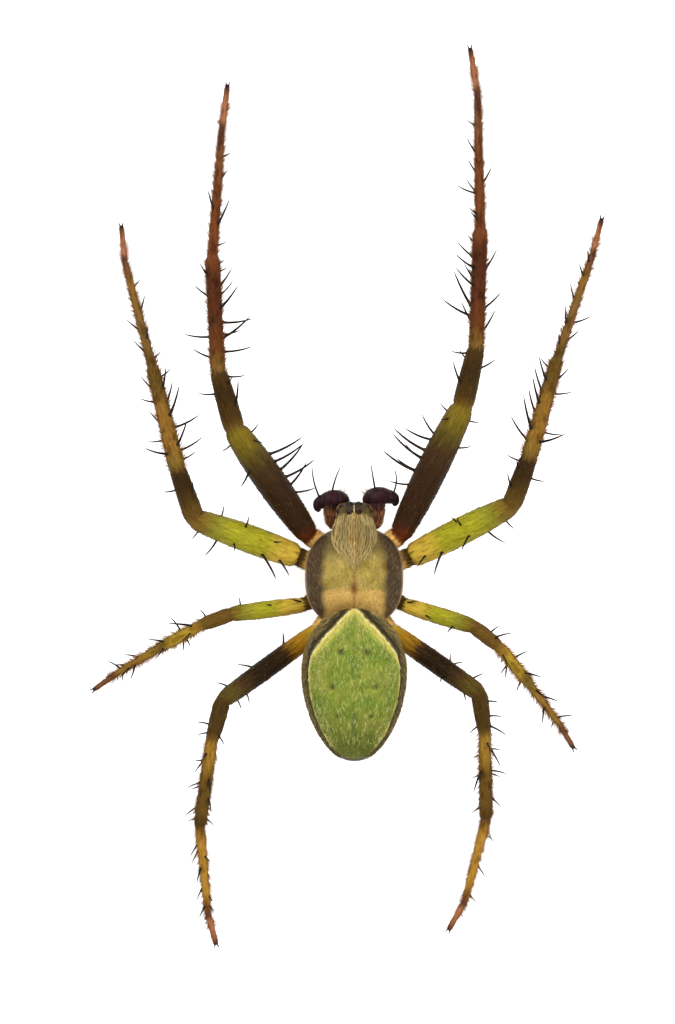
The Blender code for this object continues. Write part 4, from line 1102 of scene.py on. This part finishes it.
# %% Spine places
leg_spines = {
    (1, "left"): """
        1.34 84 .74 -23, 1.41 84 1.07 25, 1.47 97 1.27 -8, 1.54 97 1.29 12, 1.55 84 .83 17,
        1.63 84 1.25 0, 1.69 97 1.42 -12, 1.72 -48 .85 -4, 1.89 48 .38 -31, 1.92 84 .45 20,
        1.93 -84 .40 3, 2.40 48 1.02 62, 2.66 -97 .62 18, 2.78 41 .46 33, 2.88 84 .62 -11,
        3.13 -97 .77 32, 3.17 84 1.04 6, 3.29 84 1.28 36, 3.31 -97 .96 12, 3.32 84 .66 10,
        3.43 97 1.13 7, 3.54 52 1.10 37, 3.67 -97 .68 45, 3.67 84 .67 46, 3.75 84 .80 55,
        3.83 -50 .57 50, 3.88 97 .33 27, 3.94 84 .27 38, 4.10 97 .37 31, 4.25 48 1.05 62,
        4.38 -48 .68 62, 4.62 84 .46 62, 4.79 97 .38 38""",
    (2, "left"): """
        1.18 -48 .68 -35, 1.30 25 .34 -35, 1.35 -48 1.07 -30, 1.58 48 .61 26, 1.63 -44 .41 8,
        1.75 -84 .77 24, 1.77 97 .39 6, 1.94 -84 .39 27, 2.49 45 .43 62, 2.63 -84 .48 12,
        3.07 84 .54 17, 3.14 -51 1.01 13, 3.16 84 .92 16, 3.20 48 .99 41, 3.29 -84 .57 8,
        3.39 97 1.02 16, 3.48 -84 .53 61, 3.49 48 1.17 46, 3.65 84 .75 62, 3.67 -97 .55 31,
        3.76 48 .82 58, 3.81 -84 .57 62, 3.89 97 .46 29, 4.08 97 .36 32, 4.16 -84 .61 62,
        4.25 30 .50 60, 4.37 -97 .67 58, 4.54 84 .58 62, 4.77 97 .37 41""",
    (1, "right"): """
        1.35 84 .72 -15, 1.45 97 1.41 5, 1.46 84 .84 8, 1.55 84 .79 18, 1.55 97 1.37 13,
        1.61 97 1.41 8, 1.70 84 1.04 -1, 1.73 -84 .51 34, 1.74 97 .86 32, 1.90 38 .46 -10,
        1.93 -97 .39 17, 1.93 84 .40 24, 2.39 48 .99 52, 2.69 -97 .62 43, 2.80 97 .34 40,
        2.88 84 .57 -5, 3.15 -84 .85 62, 3.23 84 .78 62, 3.27 97 1.23 30, 3.34 -97 .86 46,
        3.35 84 1.45 62, 3.52 48 1.04 30, 3.58 52 .67 47, 3.67 -84 .84 62, 3.67 48 1.00 21,
        3.77 97 .82 44, 3.90 84 .33 46, 4.07 46 .42 37, 4.11 45 .48 22, 4.27 97 .77 27, 4.28 84 .58 56,
        4.35 -97 .70 62, 4.43 97 .55 62, 4.57 84 .64 62, 4.77 84 .37 32""",
    (2, "right"): """
        1.16 -27 .58 -28, 1.30 -48 .93 -27, 1.54 49 .34 -1, 1.57 27 .67 28, 1.59 -35 .69 -24,
        1.70 -97 .79 30, 1.90 -84 .47 24, 2.36 48 .65 51, 2.62 -84 .53 9, 2.72 45 .42 53,
        2.86 84 .49 7, 3.14 -50 1.09 16, 3.15 84 1.04 41, 3.24 48 1.26 49, 3.27 -97 .66 12,
        3.44 97 .96 62, 3.51 48 1.00 48, 3.66 -97 .69 27, 3.66 84 .94 59, 3.75 48 .91 44,
        3.81 -84 .60 62, 3.90 97 .46 38, 4.12 47 .35 62, 4.20 -97 .64 62, 4.33 51 .65 62,
        4.36 -84 .74 41, 4.58 97 .67 62, 4.80 40 .50 27, 4.94 25 .46 26""",
    (3, "left"): """
        1.09 30 .50 60, 1.50 27 .25 62, 1.87 84 .31 8, 2.77 97 .34 18, 3.13 48 .87 41, 3.22 -25 .38 58,
        3.39 -84 .32 2, 3.43 97 .62 14, 3.48 -97 .47 39, 3.80 48 .59 38, 3.87 -30 .50 38,
        4.45 97 .62 57, 4.56 -47 .56 28, 4.69 -30 .50 60, 4.75 84 .42 62, 4.88 -84 .31 38,
        4.88 97 .60 38""",
    (3, "right"): """
        1.09 30 .50 60, 1.39 -25 .35 60, 1.77 -51 .37 -5, 2.54 97 .39 17, 2.77 45 .45 20,
        2.77 97 .58 38, 3.13 -25 .42 62, 3.39 84 .54 11, 3.41 -84 .42 13, 3.42 -97 .58 52,
        3.74 48 .64 38, 3.87 -97 .46 38, 4.17 25 .54 53, 4.38 97 .69 60, 4.55 -49 .58 28,
        4.88 -84 .28 39, 4.88 97 .62 38""",
    (4, "left"): """
        1.31 84 .46 -34, 1.63 97 .56 44, 1.80 -97 .38 20, 1.90 -84 .38 17, 1.90 84 .44 38,
        2.62 97 .44 6, 2.83 -50 .51 38, 2.83 84 .37 28, 3.13 35 .43 47, 3.23 84 .34 11, 3.24 84 .56 62,
        3.42 -25 .53 60, 3.50 97 .54 33, 3.54 84 .34 27, 3.64 -48 .54 61, 3.79 97 .58 48,
        3.90 -84 .41 38, 3.92 84 .29 28, 4.21 84 .58 56, 4.29 97 .58 61, 4.34 -35 .35 19,
        4.47 48 .57 62, 4.72 84 .52 62, 4.81 -51 .23 42, 4.92 -53 .28 45, 4.92 41 .50 38""",
    (4, "right"): """
        1.62 84 .29 -35, 1.65 97 .36 45, 1.67 -44 .40 26, 1.87 97 .45 32, 1.89 -84 .33 55,
        2.23 97 .41 18, 2.58 84 .46 11, 2.81 -97 .40 38, 2.83 84 .69 38, 3.09 25 .39 47,
        3.18 84 .76 62, 3.18 97 .38 12, 3.25 -97 .28 27, 3.42 -48 .85 62, 3.43 84 .59 12,
        3.47 97 .37 26, 3.48 -84 .30 23, 3.75 84 .51 47, 3.86 -97 .43 41, 4.14 84 .28 40,
        4.18 97 .44 36, 4.57 97 .52 46, 4.92 84 .39 38""",
}
spine_bend, spine_root_share, spine_length_share = 0.22, 0.93, 0.978
spine_radius_base, spine_radius_growth = 0.025, 0.020
spine_paint = plain_shell("spine_black", "#0E0907", "#261A15", 6.0, 0.35, 0.003, Specular_IOR_Level=0.1)

# %% [markdown]
# A spine is a tube as well. The whole set of a leg is one array: spine by spine, ring by
# ring, corner by corner. Its centre line is root + aim L s + bend L s^2, and the lean of
# the line from root to tip is the listed one.

# %% Spine meshes


def tubes(name, rings, material, slot=None):
    """Many closed tubes from an array (tube, ring, corner, xyz), as one mesh."""
    count, rows, sides = rings.shape[:3]
    first = np.arange(count)[:, None, None] * rows * sides
    quads = (first + ring_quads(rows, sides)[None]).reshape(-1, 4)
    k = np.arange(1, sides - 1)
    fan = np.stack((np.zeros_like(k), k, k + 1), axis=-1)
    end = (rows - 1) * sides
    caps = np.concatenate((fan[:, ::-1], fan + end))
    return put_mesh(name, rings.reshape(-1, 3), quads, (first + caps[None]).reshape(-1, 3), material, slot)


def spine_mesh(name, roots, aims, lengths, bends, radii, material, sides=8):
    """Curves root + aim L s + bend L s^2, with a socket ring first and then a taper."""
    shares = np.array((0.0, 0.025, 0.05, 0.08, 0.16, 0.30, 0.50, 0.70, 0.87, 1.0))
    widths = np.array((1.5, 1.5, 1.3, 1.0, 0.98, 0.92, 0.82, 0.68, 0.48, 0.12))
    s = shares[None, :, None]
    length = lengths[:, None, None]
    centre = roots[:, None] + aims[:, None] * length * s + bends[:, None] * length * s ** 2
    tangent = unit_rows(np.gradient(centre, axis=1))
    side = unit_rows(np.cross(tangent, unit_rows(np.cross(aims, bends + (0.0, 0.0, 1e-3)))[:, None]))
    up = np.cross(tangent, side)
    turn = full_turn(sides)
    radius = (radii[:, None] * widths)[..., None, None]
    rings = centre[:, :, None] + radius * (np.cos(turn)[:, None] * side[:, :, None]
                                           + np.sin(turn)[:, None] * up[:, :, None])
    return tubes(name, rings, material)


def leg_spine_lines(leg, side):
    """Roots on the leg's skin, aims, lengths, bends and radii of one leg's spines."""
    joints = leg_joints(leg, side)
    sign = side_signs[side]
    lines = []
    for spine in leg_spines[(leg, side)].split(","):
        place, angle, length, lean = map(float, spine.split())
        index = int(place)
        s = place - index
        start, end = joints[index], joints[index + 1]
        along = unit_rows(end - start)
        across = unit_rows(np.cross(along, (0.0, 0.0, 1.0))) * sign
        up = unit_rows(np.cross(across, along)) * sign
        turn, tilt = math.radians(angle), math.radians(lean)
        out = up * math.cos(turn) + across * math.sin(turn)
        root = start + (end - start) * s + out * quadratic(*leg_radii[leg][index], s) * spine_root_share
        aim = out * math.cos(tilt) + along * (math.sin(tilt) - spine_bend)
        radius = spine_radius_base + spine_radius_growth * length
        lines.append((root, aim, length * spine_length_share, along * spine_bend, radius))
    return [np.array(column) for column in zip(*lines)]


for leg, side in leg_sides:
    spine_mesh("spines_leg_%d_%s" % (leg, side), *leg_spine_lines(leg, side), spine_paint)
print("spines:", sum(len(spines.split(",")) for spines in leg_spines.values()))

# %% [markdown]
# ## Claws
# Each foot ends in a pair of small curved claws. They reach from the end of the tarsus
# nearly down to the floor.

# %% Claws
claw_paint = plain_shell("claw_black", "#0B0706", "#1E1310", 8.0, 0.30, 0.002, Specular_IOR_Level=0.1)
claw_length, claw_radius, claw_gap, claw_curve = 0.22, 0.030, 0.030, 0.95
claw_level, claw_spread, claw_rise = 0.9, 0.22, 0.35
for leg, side in leg_sides:
    limb = limbs[(leg, side)]
    tip = limb["centre"][-3]
    aim = unit_rows(tip - limb["centre"][-9])
    level = unit_rows(aim * (1.0, 1.0, 0.0))
    across = np.array((-level[1], level[0], 0.0))
    signs = np.array((-1.0, 1.0))[:, None]
    roots = tip + across * claw_gap * signs
    aims = unit_rows(level * claw_level + across * claw_spread * signs + (0.0, 0.0, claw_rise))
    bends = np.tile(np.array((0.0, 0.0, -claw_curve)), (2, 1))
    spine_mesh("claws_leg_%d_%s" % (leg, side), roots, aims, np.full(2, claw_length), bends,
               np.full(2, claw_radius), claw_paint)

# %% [markdown]
# ## Hair
# A spider's coat is thousands of fine hairs. Particle hair would be quick to make but it
# isn't a mesh, so each hair here is a thin three-sided tube. All hairs of a coat are
# combed at once: each runs through the surface's own two parameters, so that it follows
# the body's curve, and its lift takes it off the skin.

# %% Hair maker
hair_draw = np.random.default_rng(11)


def scatter(count, low, high):
    """Seeded random numbers between two values."""
    return hair_draw.uniform(low, high, count)


def strands(start, step, rings=4, wave=0.0, turns=1.5):
    """Rows of start + step s + wave sin(2 pi turns s + phase) sqrt(s), one row for each hair."""
    s = np.linspace(0.0, 1.0, rings)[None, :]
    phase = scatter((len(start), 1), 0.0, 2.0 * np.pi)
    swing_of_hair = wave * np.sin(2.0 * np.pi * turns * s + phase) * s ** 0.5
    return start[:, None] + np.reshape(step, (-1, 1)) * s + swing_of_hair


def comb(name, surface, u, v, lifts, radii, spot, material, **marks):
    """Hairs along surface(u, v) + normal (lift s^1.4 - 0.006 (1 - s)), tapering to their tips."""
    count, rings = np.broadcast_shapes(u.shape, v.shape)
    lift, radius = scatter(count, *lifts), scatter(count, *radii)
    s = np.linspace(0.0, 1.0, rings)[None, :]
    on_skin, normal = surface(u, v)
    rise = lift[:, None] * s ** 1.4 - 0.006 * (1.0 - s)
    centre = on_skin + normal * rise[..., None]
    tangent = unit_rows(np.gradient(centre, axis=1))
    side = unit_rows(np.cross(normal, tangent))
    up = np.cross(tangent, side)
    width = radius[:, None] * (1.0 - s) ** 0.6 + 0.0006
    turn = np.radians((90.0, 210.0, 330.0))
    around = np.cos(turn)[:, None] * side[:, :, None] + np.sin(turn)[:, None] * up[:, :, None]
    coat = tubes(name, centre[:, :, None] + width[..., None, None] * around, material)
    patch = 0.003 * np.stack(np.meshgrid(s[0] - 0.5, np.array((-0.5, 0.0, 0.5)), indexing="ij"), axis=-1)
    places = np.stack(spot, axis=-1)[:, None, None] + patch[None]
    layer = coat.data.uv_layers.new(name="OFBake")
    corners = np.empty(len(coat.data.loops), dtype=np.int32)
    coat.data.loops.foreach_get("vertex_index", corners)
    layer.data.foreach_set("uv", places.reshape(-1, 2)[corners].astype(np.float32).ravel())
    for key, values in marks.items():
        mark(coat, **{key: np.repeat(values, rings * 3)})
    mark(coat, shade=np.repeat(scatter(count, 0.0, 1.0), rings * 3))
    return coat


def hair_material(name, colours, light, amount, dark=0.60, bright=1.20, where=None):
    """Hair that carries the skin's colours, mixed with its own tint, each hair a shade of its own."""
    def hair_colours(made):
        """The skin's colours, the tint where it belongs, and the shade."""
        share = amount
        if where:
            mark_name, first, last = where
            share = fade(made, mark_name, (first, 0.12), (last, amount))
        base = mix(made, share, colours(made), tint(light))
        return times(made, base, fade(made, "shade", (0.0, dark), (1.0, bright)))

    return new_material(name, hair_colours, Roughness=0.5, Specular_IOR_Level=0.06)


# %% [markdown]
# ## Hair of the head
# Long, wavy, golden hairs lie on the head from the eyes back to the fovea. They keep to
# lanes that draw together at the midline, the outer lanes ending first, so that pale wavy
# strands show with dark skin between them. A paler line of hairs runs down the middle. The
# rest of the shield has only short, thin down.

# %% Head hair
head_hair = hair_material("head_hair", carapace_colours, "#D9C182", 0.74, 0.5, 1.2)
median_hair = hair_material("median_hair", carapace_colours, "#F6E4B8", 0.90, 0.8, 1.1)
lane_count, lane_rings = 17, 14
head_hair_count, median_hair_count = 330, 10


def lane_half_width(y):
    """Half the width of the combed field: widest behind the eyes, nearly nothing at the fovea."""
    return np.interp(y, (-2.75, -2.37, -2.09, -1.74, -1.40, -1.05, -0.70, -0.42, -0.17),
                     (0.46, 0.50, 0.64, 0.74, 0.76, 0.62, 0.42, 0.24, 0.06))


def shield_spot(x, y):
    """Where on the coat's UV map a hair of the shield lies."""
    return x / 4.0 + 0.5, (y - head_front_y) / 4.5


def comb_head(name, lane, spread, radii, sway, paint):
    """Hairs start anywhere along their lane and keep to its share of the field's width, swaying."""
    count = len(lane)
    offset = lane / ((lane_count - 1) / 2.0) + scatter(count, -spread, spread)
    first = np.where(lane == 0, -2.62, -2.36 + 0.22 * np.abs(offset) ** 4)
    last = -0.22 - 0.50 * np.abs(offset) ** 1.3
    y = first + (last - first) * np.clip(scatter(count, -0.18, 0.90), 0.0, 1.0)
    along = strands(y, np.minimum(scatter(count, 0.45, 0.95), last - y), lane_rings)
    wave = 2.0 * np.pi * along / scatter((count, 1), 0.38, 0.46) + (lane * 2.4)[:, None]
    across = offset[:, None] * lane_half_width(along) + sway * np.sin(wave + scatter((count, 1), -0.6, 0.6))
    x = across[:, 0]
    comb(name, carapace_surface, across, along, (0.02, 0.05), radii, shield_spot(x, y), paint,
         **carapace_marks(x, y))


half_lanes = lane_count // 2
lanes = hair_draw.integers(-half_lanes, half_lanes + 1, head_hair_count)
comb_head("hair_head", lanes, 0.036, (0.009, 0.015), 0.020, head_hair)
comb_head("hair_median", np.zeros(median_hair_count), 0.010, (0.008, 0.012), 0.006, median_hair)

# %% Down of the thorax
down_hair = hair_material("thorax_down", carapace_colours, "#C9B68C", 0.35, 0.7, 1.15)
count, down_front_y, down_rear_y, down_reach = 2200, -2.3, 1.35, 0.96
y = scatter(count, down_front_y, down_rear_y)
x = carapace_half_width(y) * scatter(count, -down_reach, down_reach)
comb("hair_thorax", carapace_surface, strands(x, -x * 0.05, wave=0.004, turns=1.0),
     strands(y, scatter(count, 0.10, 0.20)), (0.01, 0.035), (0.004, 0.006), shield_spot(x, y),
     down_hair, **carapace_marks(x, y))

# %% [markdown]
# ## Hair of the abdomen
# Short hairs lie backwards all over the abdomen and stand a little proud at the outline.
# On the green field two kinds mix: fine ones hardly lighter than the skin, and thicker pale
# ones that show as curved streaks, which lie crosswise along the field's edge. Golden brown
# ones cover the dark shoulders and thin out along the rim. None grow in the dimples, or on
# the line between green and dark, which stays sharp.

# %% Abdomen hair
abdomen_hair = hair_material("abdomen_hair", abdomen_colours, "#B4B458", 0.35, 0.65, 1.15,
                             where=("inside", inside_stop(-0.2), inside_stop(0.3)))
streak_hair = hair_material("abdomen_streaks", abdomen_colours, "#D6D688", 0.64, 0.8, 1.15,
                            where=("inside", inside_stop(-0.2), inside_stop(0.3)))
rim_hair = hair_material("rim_hair", abdomen_colours, "#BFA064", 0.72, 0.35, 1.30)
field_span, back_half, belly_half = (0.02, 0.94, 1.0), (0.0, np.pi), (np.pi, 2.0 * np.pi)
abdomen_coats = [
    ("back", 5600, field_span, back_half, (0.12, 0.22), (0.005, 0.008), 0.030, abdomen_hair),
    ("streaks", 1250, (0.03, 0.87, 1.6), (0.35, np.pi - 0.35), (0.10, 0.26), (0.012, 0.018), 0.055,
     streak_hair),
    ("belly", 3000, (0.02, 0.96, 1.0), belly_half, (0.14, 0.24), (0.006, 0.010), 0.030, abdomen_hair),
]
for name, count, span, (low_angle, high_angle), *looks in (
        ("edge", 80, (0.28, 0.90, 1.0), (0.62, 0.88), (0.04, 0.14), (0.012, 0.017), 0.150, streak_hair),
        ("rim", 1100, (0.02, 0.94, 1.8), (-0.2, 0.80), (0.12, 0.24), (0.007, 0.012), 0.080, rim_hair)):
    abdomen_coats.append((name + "_left", count, span, (low_angle, high_angle), *looks))
    abdomen_coats.append((name + "_right", count, span, (np.pi - high_angle, np.pi - low_angle), *looks))
for name, count, (start, end, crowding), angles, lengths, radii, curl, paint in abdomen_coats:
    t = start + (end - start) * scatter(count, 0.0, 1.0) ** crowding
    angle = scatter(count, *angles)
    x, y, _ = np.moveaxis(abdomen_shape(t, angle), -1, 0)
    inside = abdomen_marks(t, angle)["inside"]
    on_field = (inside > inside_stop(0.05)) & (paint is not rim_hair)
    clear = (dimple_mask(x, y, 1.0) < 0.3) & ((inside < inside_stop(-0.7)) | on_field)
    t, angle = t[clear], angle[clear]
    count = len(t)
    outward = -0.12 * np.sign(np.cos(angle)) if paint is rim_hair else 0.0
    comb("hair_" + name, abdomen_surface, strands(t, scatter(count, *lengths) / abdomen_length, 5),
         strands(angle, outward + scatter(count, -curl, curl), 5, wave=curl / 3.0, turns=1.0),
         (0.015, 0.05), radii, (angle / (2.0 * np.pi), t), paint, **abdomen_marks(t, angle))

# %% [markdown]
# ## Hair of the palps
# Rusty hairs lie along the stalks, dark ones hide the seam between stalk and cap, short
# ones cover the cap, and a thin pale tuft stands at its inner end. Two long thin black
# bristles rise from the front of each cap, each given by its root, by how far out and
# forward its tip lies, and by its bow to the side.

# %% Palp hair
palp_hair = hair_material("palp_hair", palp_colours, "#B98A58", 0.58, 0.35, 1.3, where=("rear", 0.25, 0.85))
cap_hair = hair_material("cap_hair", palp_colours, "#6E4532", 0.30, 0.5, 1.2)
tuft_hair = hair_material("palp_tufts", palp_colours, "#B7A593", 0.85, 0.7, 1.1)
bristle_root_z, bristle_rise, bristle_radius = 1.84, 0.40, 0.034
stalk_hair_count, seam_hair_count, seam_width = 420, 70, 0.12
palp_bristles = {
    "left": ((1.21, -2.88, 0.26, -1.14, -0.28), (0.77, -3.06, -0.31, -0.92, -0.17)),
    "right": ((0.73, -3.17, -0.15, -0.92, 0.02), (1.36, -3.02, 0.04, -0.88, -0.38)),
}


def limb_spot(turn, reach, total):
    """Where on the coat's UV map a hair of a limb lies."""
    return turn / (2.0 * np.pi) + 0.5, reach / total


for side, sign in side_signs.items():
    stalk = palp_stalks[side]
    total = stalk["reach"][-1]
    count = stalk_hair_count
    reach, turn = scatter(count, 0.02, total - seam_width), scatter(count, -np.pi, np.pi)
    stalk_rear_y, stalk_front_y = palp_points[0][1], -2.74
    front = palp_front(stalk_rear_y + (stalk_front_y - stalk_rear_y) * reach / total)
    comb("hair_palp_" + side, limb_surface(stalk), strands(reach, scatter(count, 0.14, 0.30)),
         strands(turn, scatter(count, -0.15, 0.15)), (0.02, 0.09), (0.006, 0.011),
         limb_spot(turn, reach, total), palp_hair, front=front, rear=1.0 - front)
    count = seam_hair_count
    reach, turn = scatter(count, total - seam_width, total), scatter(count, -np.pi, np.pi)
    comb("hair_seam_" + side, limb_surface(stalk), strands(reach, -scatter(count, 0.08, 0.30)),
         strands(turn, scatter(count, -0.2, 0.2)), (0.02, 0.06), (0.010, 0.018),
         limb_spot(turn, reach, total), cap_hair, front=np.ones(count))
    cap = with_normals(cap_shape(side), 0.01, 0.01)

    def cap_surface(polar, around):
        """The cap's points, with normals that point out of it on both sides."""
        points, normal = cap(polar, around)
        return points, normal * -sign

    for part, count, polars, paint, lifts, radii in (
            ("cap", 260, (0.5, 2.6), cap_hair, (0.01, 0.04), (0.005, 0.009)),
            ("tuft", 30, (0.50, 1.20), tuft_hair, (0.25, 0.48), (0.004, 0.006))):
        reach_round = np.pi if part == "cap" else 0.8
        polar, around = scatter(count, *polars), np.pi + scatter(count, -reach_round, reach_round)
        comb("hair_%s_%s" % (part, side), cap_surface, strands(polar, scatter(count, -0.15, 0.15)),
             strands(around, scatter(count, -0.5, 0.5)), lifts, radii,
             limb_spot(around, polar, np.pi), paint,
             front=cap_front(polar, cap(polar, around)[0][:, 1]))
    x, y, outward, forward, bow = np.array(palp_bristles[side]).T
    rise = np.full(2, bristle_rise)
    roots = np.stack((x * sign, y, np.full(2, bristle_root_z)), axis=-1)
    aims = np.stack(((outward - bow) * sign, forward, rise), axis=-1)
    bends = np.stack((bow * sign, 0.0 * bow, -0.6 * rise), axis=-1)
    spine_mesh("bristles_palp_" + side, roots, aims, np.ones(2), bends, np.full(2, bristle_radius),
               spine_paint)

# %% [markdown]
# ## Hair of the legs
# Every segment is covered with fine hairs that lie towards the foot. They take the tone
# of the band that they grow on, only a little lighter, with a few pale ones between on
# the femora and patellae. From there on longer rusty ones stand out from both sides, and
# paler ones cover the coxae.

# %% Leg hair
thin, thick = (0.004, 0.007), (0.005, 0.008)
leg_hair_counts = {1: 3400, 2: 2800, 3: 1700, 4: 2300}
leg_tints = {"hair": ("#A87C44", 0.10, 0.70, 1.45), "dashes": ("#B89A54", 0.40, 0.60, 1.15),
             "fuzz": ("#A06638", 0.45, 0.60, 1.30)}
leg_coats = {(kind, leg): hair_material("leg_%d_%s" % (leg, kind), partial(leg_colours, leg=leg), *leg_tint)
             for kind, leg_tint in leg_tints.items() for leg in leg_base}
for leg, side in leg_sides:
    limb = limbs[(leg, side)]
    total = limb["reach"][-1]
    knee = np.interp(2.9, limb["along"], limb["reach"])
    many = leg_hair_counts[leg]
    for part, kind, count, first, last, spread, lengths, lifts, radii in (
            ("leg", "hair", many, 0.9, total - 0.22, 1.0, (0.10, 0.20), (0.015, 0.05), thin),
            ("dash", "dashes", 260, 0.95, knee, 1.0, (0.06, 0.16), (0.01, 0.03), thin),
            ("fuzz", "fuzz", many // 2, knee, total - 0.80, 0.45, (0.12, 0.22), (0.10, 0.20), thick),
            ("coxa", "dashes", 200, 0.25, 1.0, 1.0, (0.14, 0.24), (0.03, 0.09), thin)):
        reach, turn = scatter(count, first, last), scatter(count, -np.pi, np.pi)
        turn = np.sign(turn) * (np.pi / 2.0 + (np.abs(turn) - np.pi / 2.0) * spread)
        comb("hair_%s_%d_%s" % (part, leg, side), limb_surface(limb),
             strands(reach, scatter(count, *lengths)), strands(turn, scatter(count, -0.05, 0.05)),
             lifts, radii, limb_spot(turn, reach, total), leg_coats[(kind, leg)],
             **leg_marks(limb, reach, turn))
print("leg hairs:", 2 * sum(leg_hair_counts.values()))

# %% Sizes, and the last line
low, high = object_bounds()
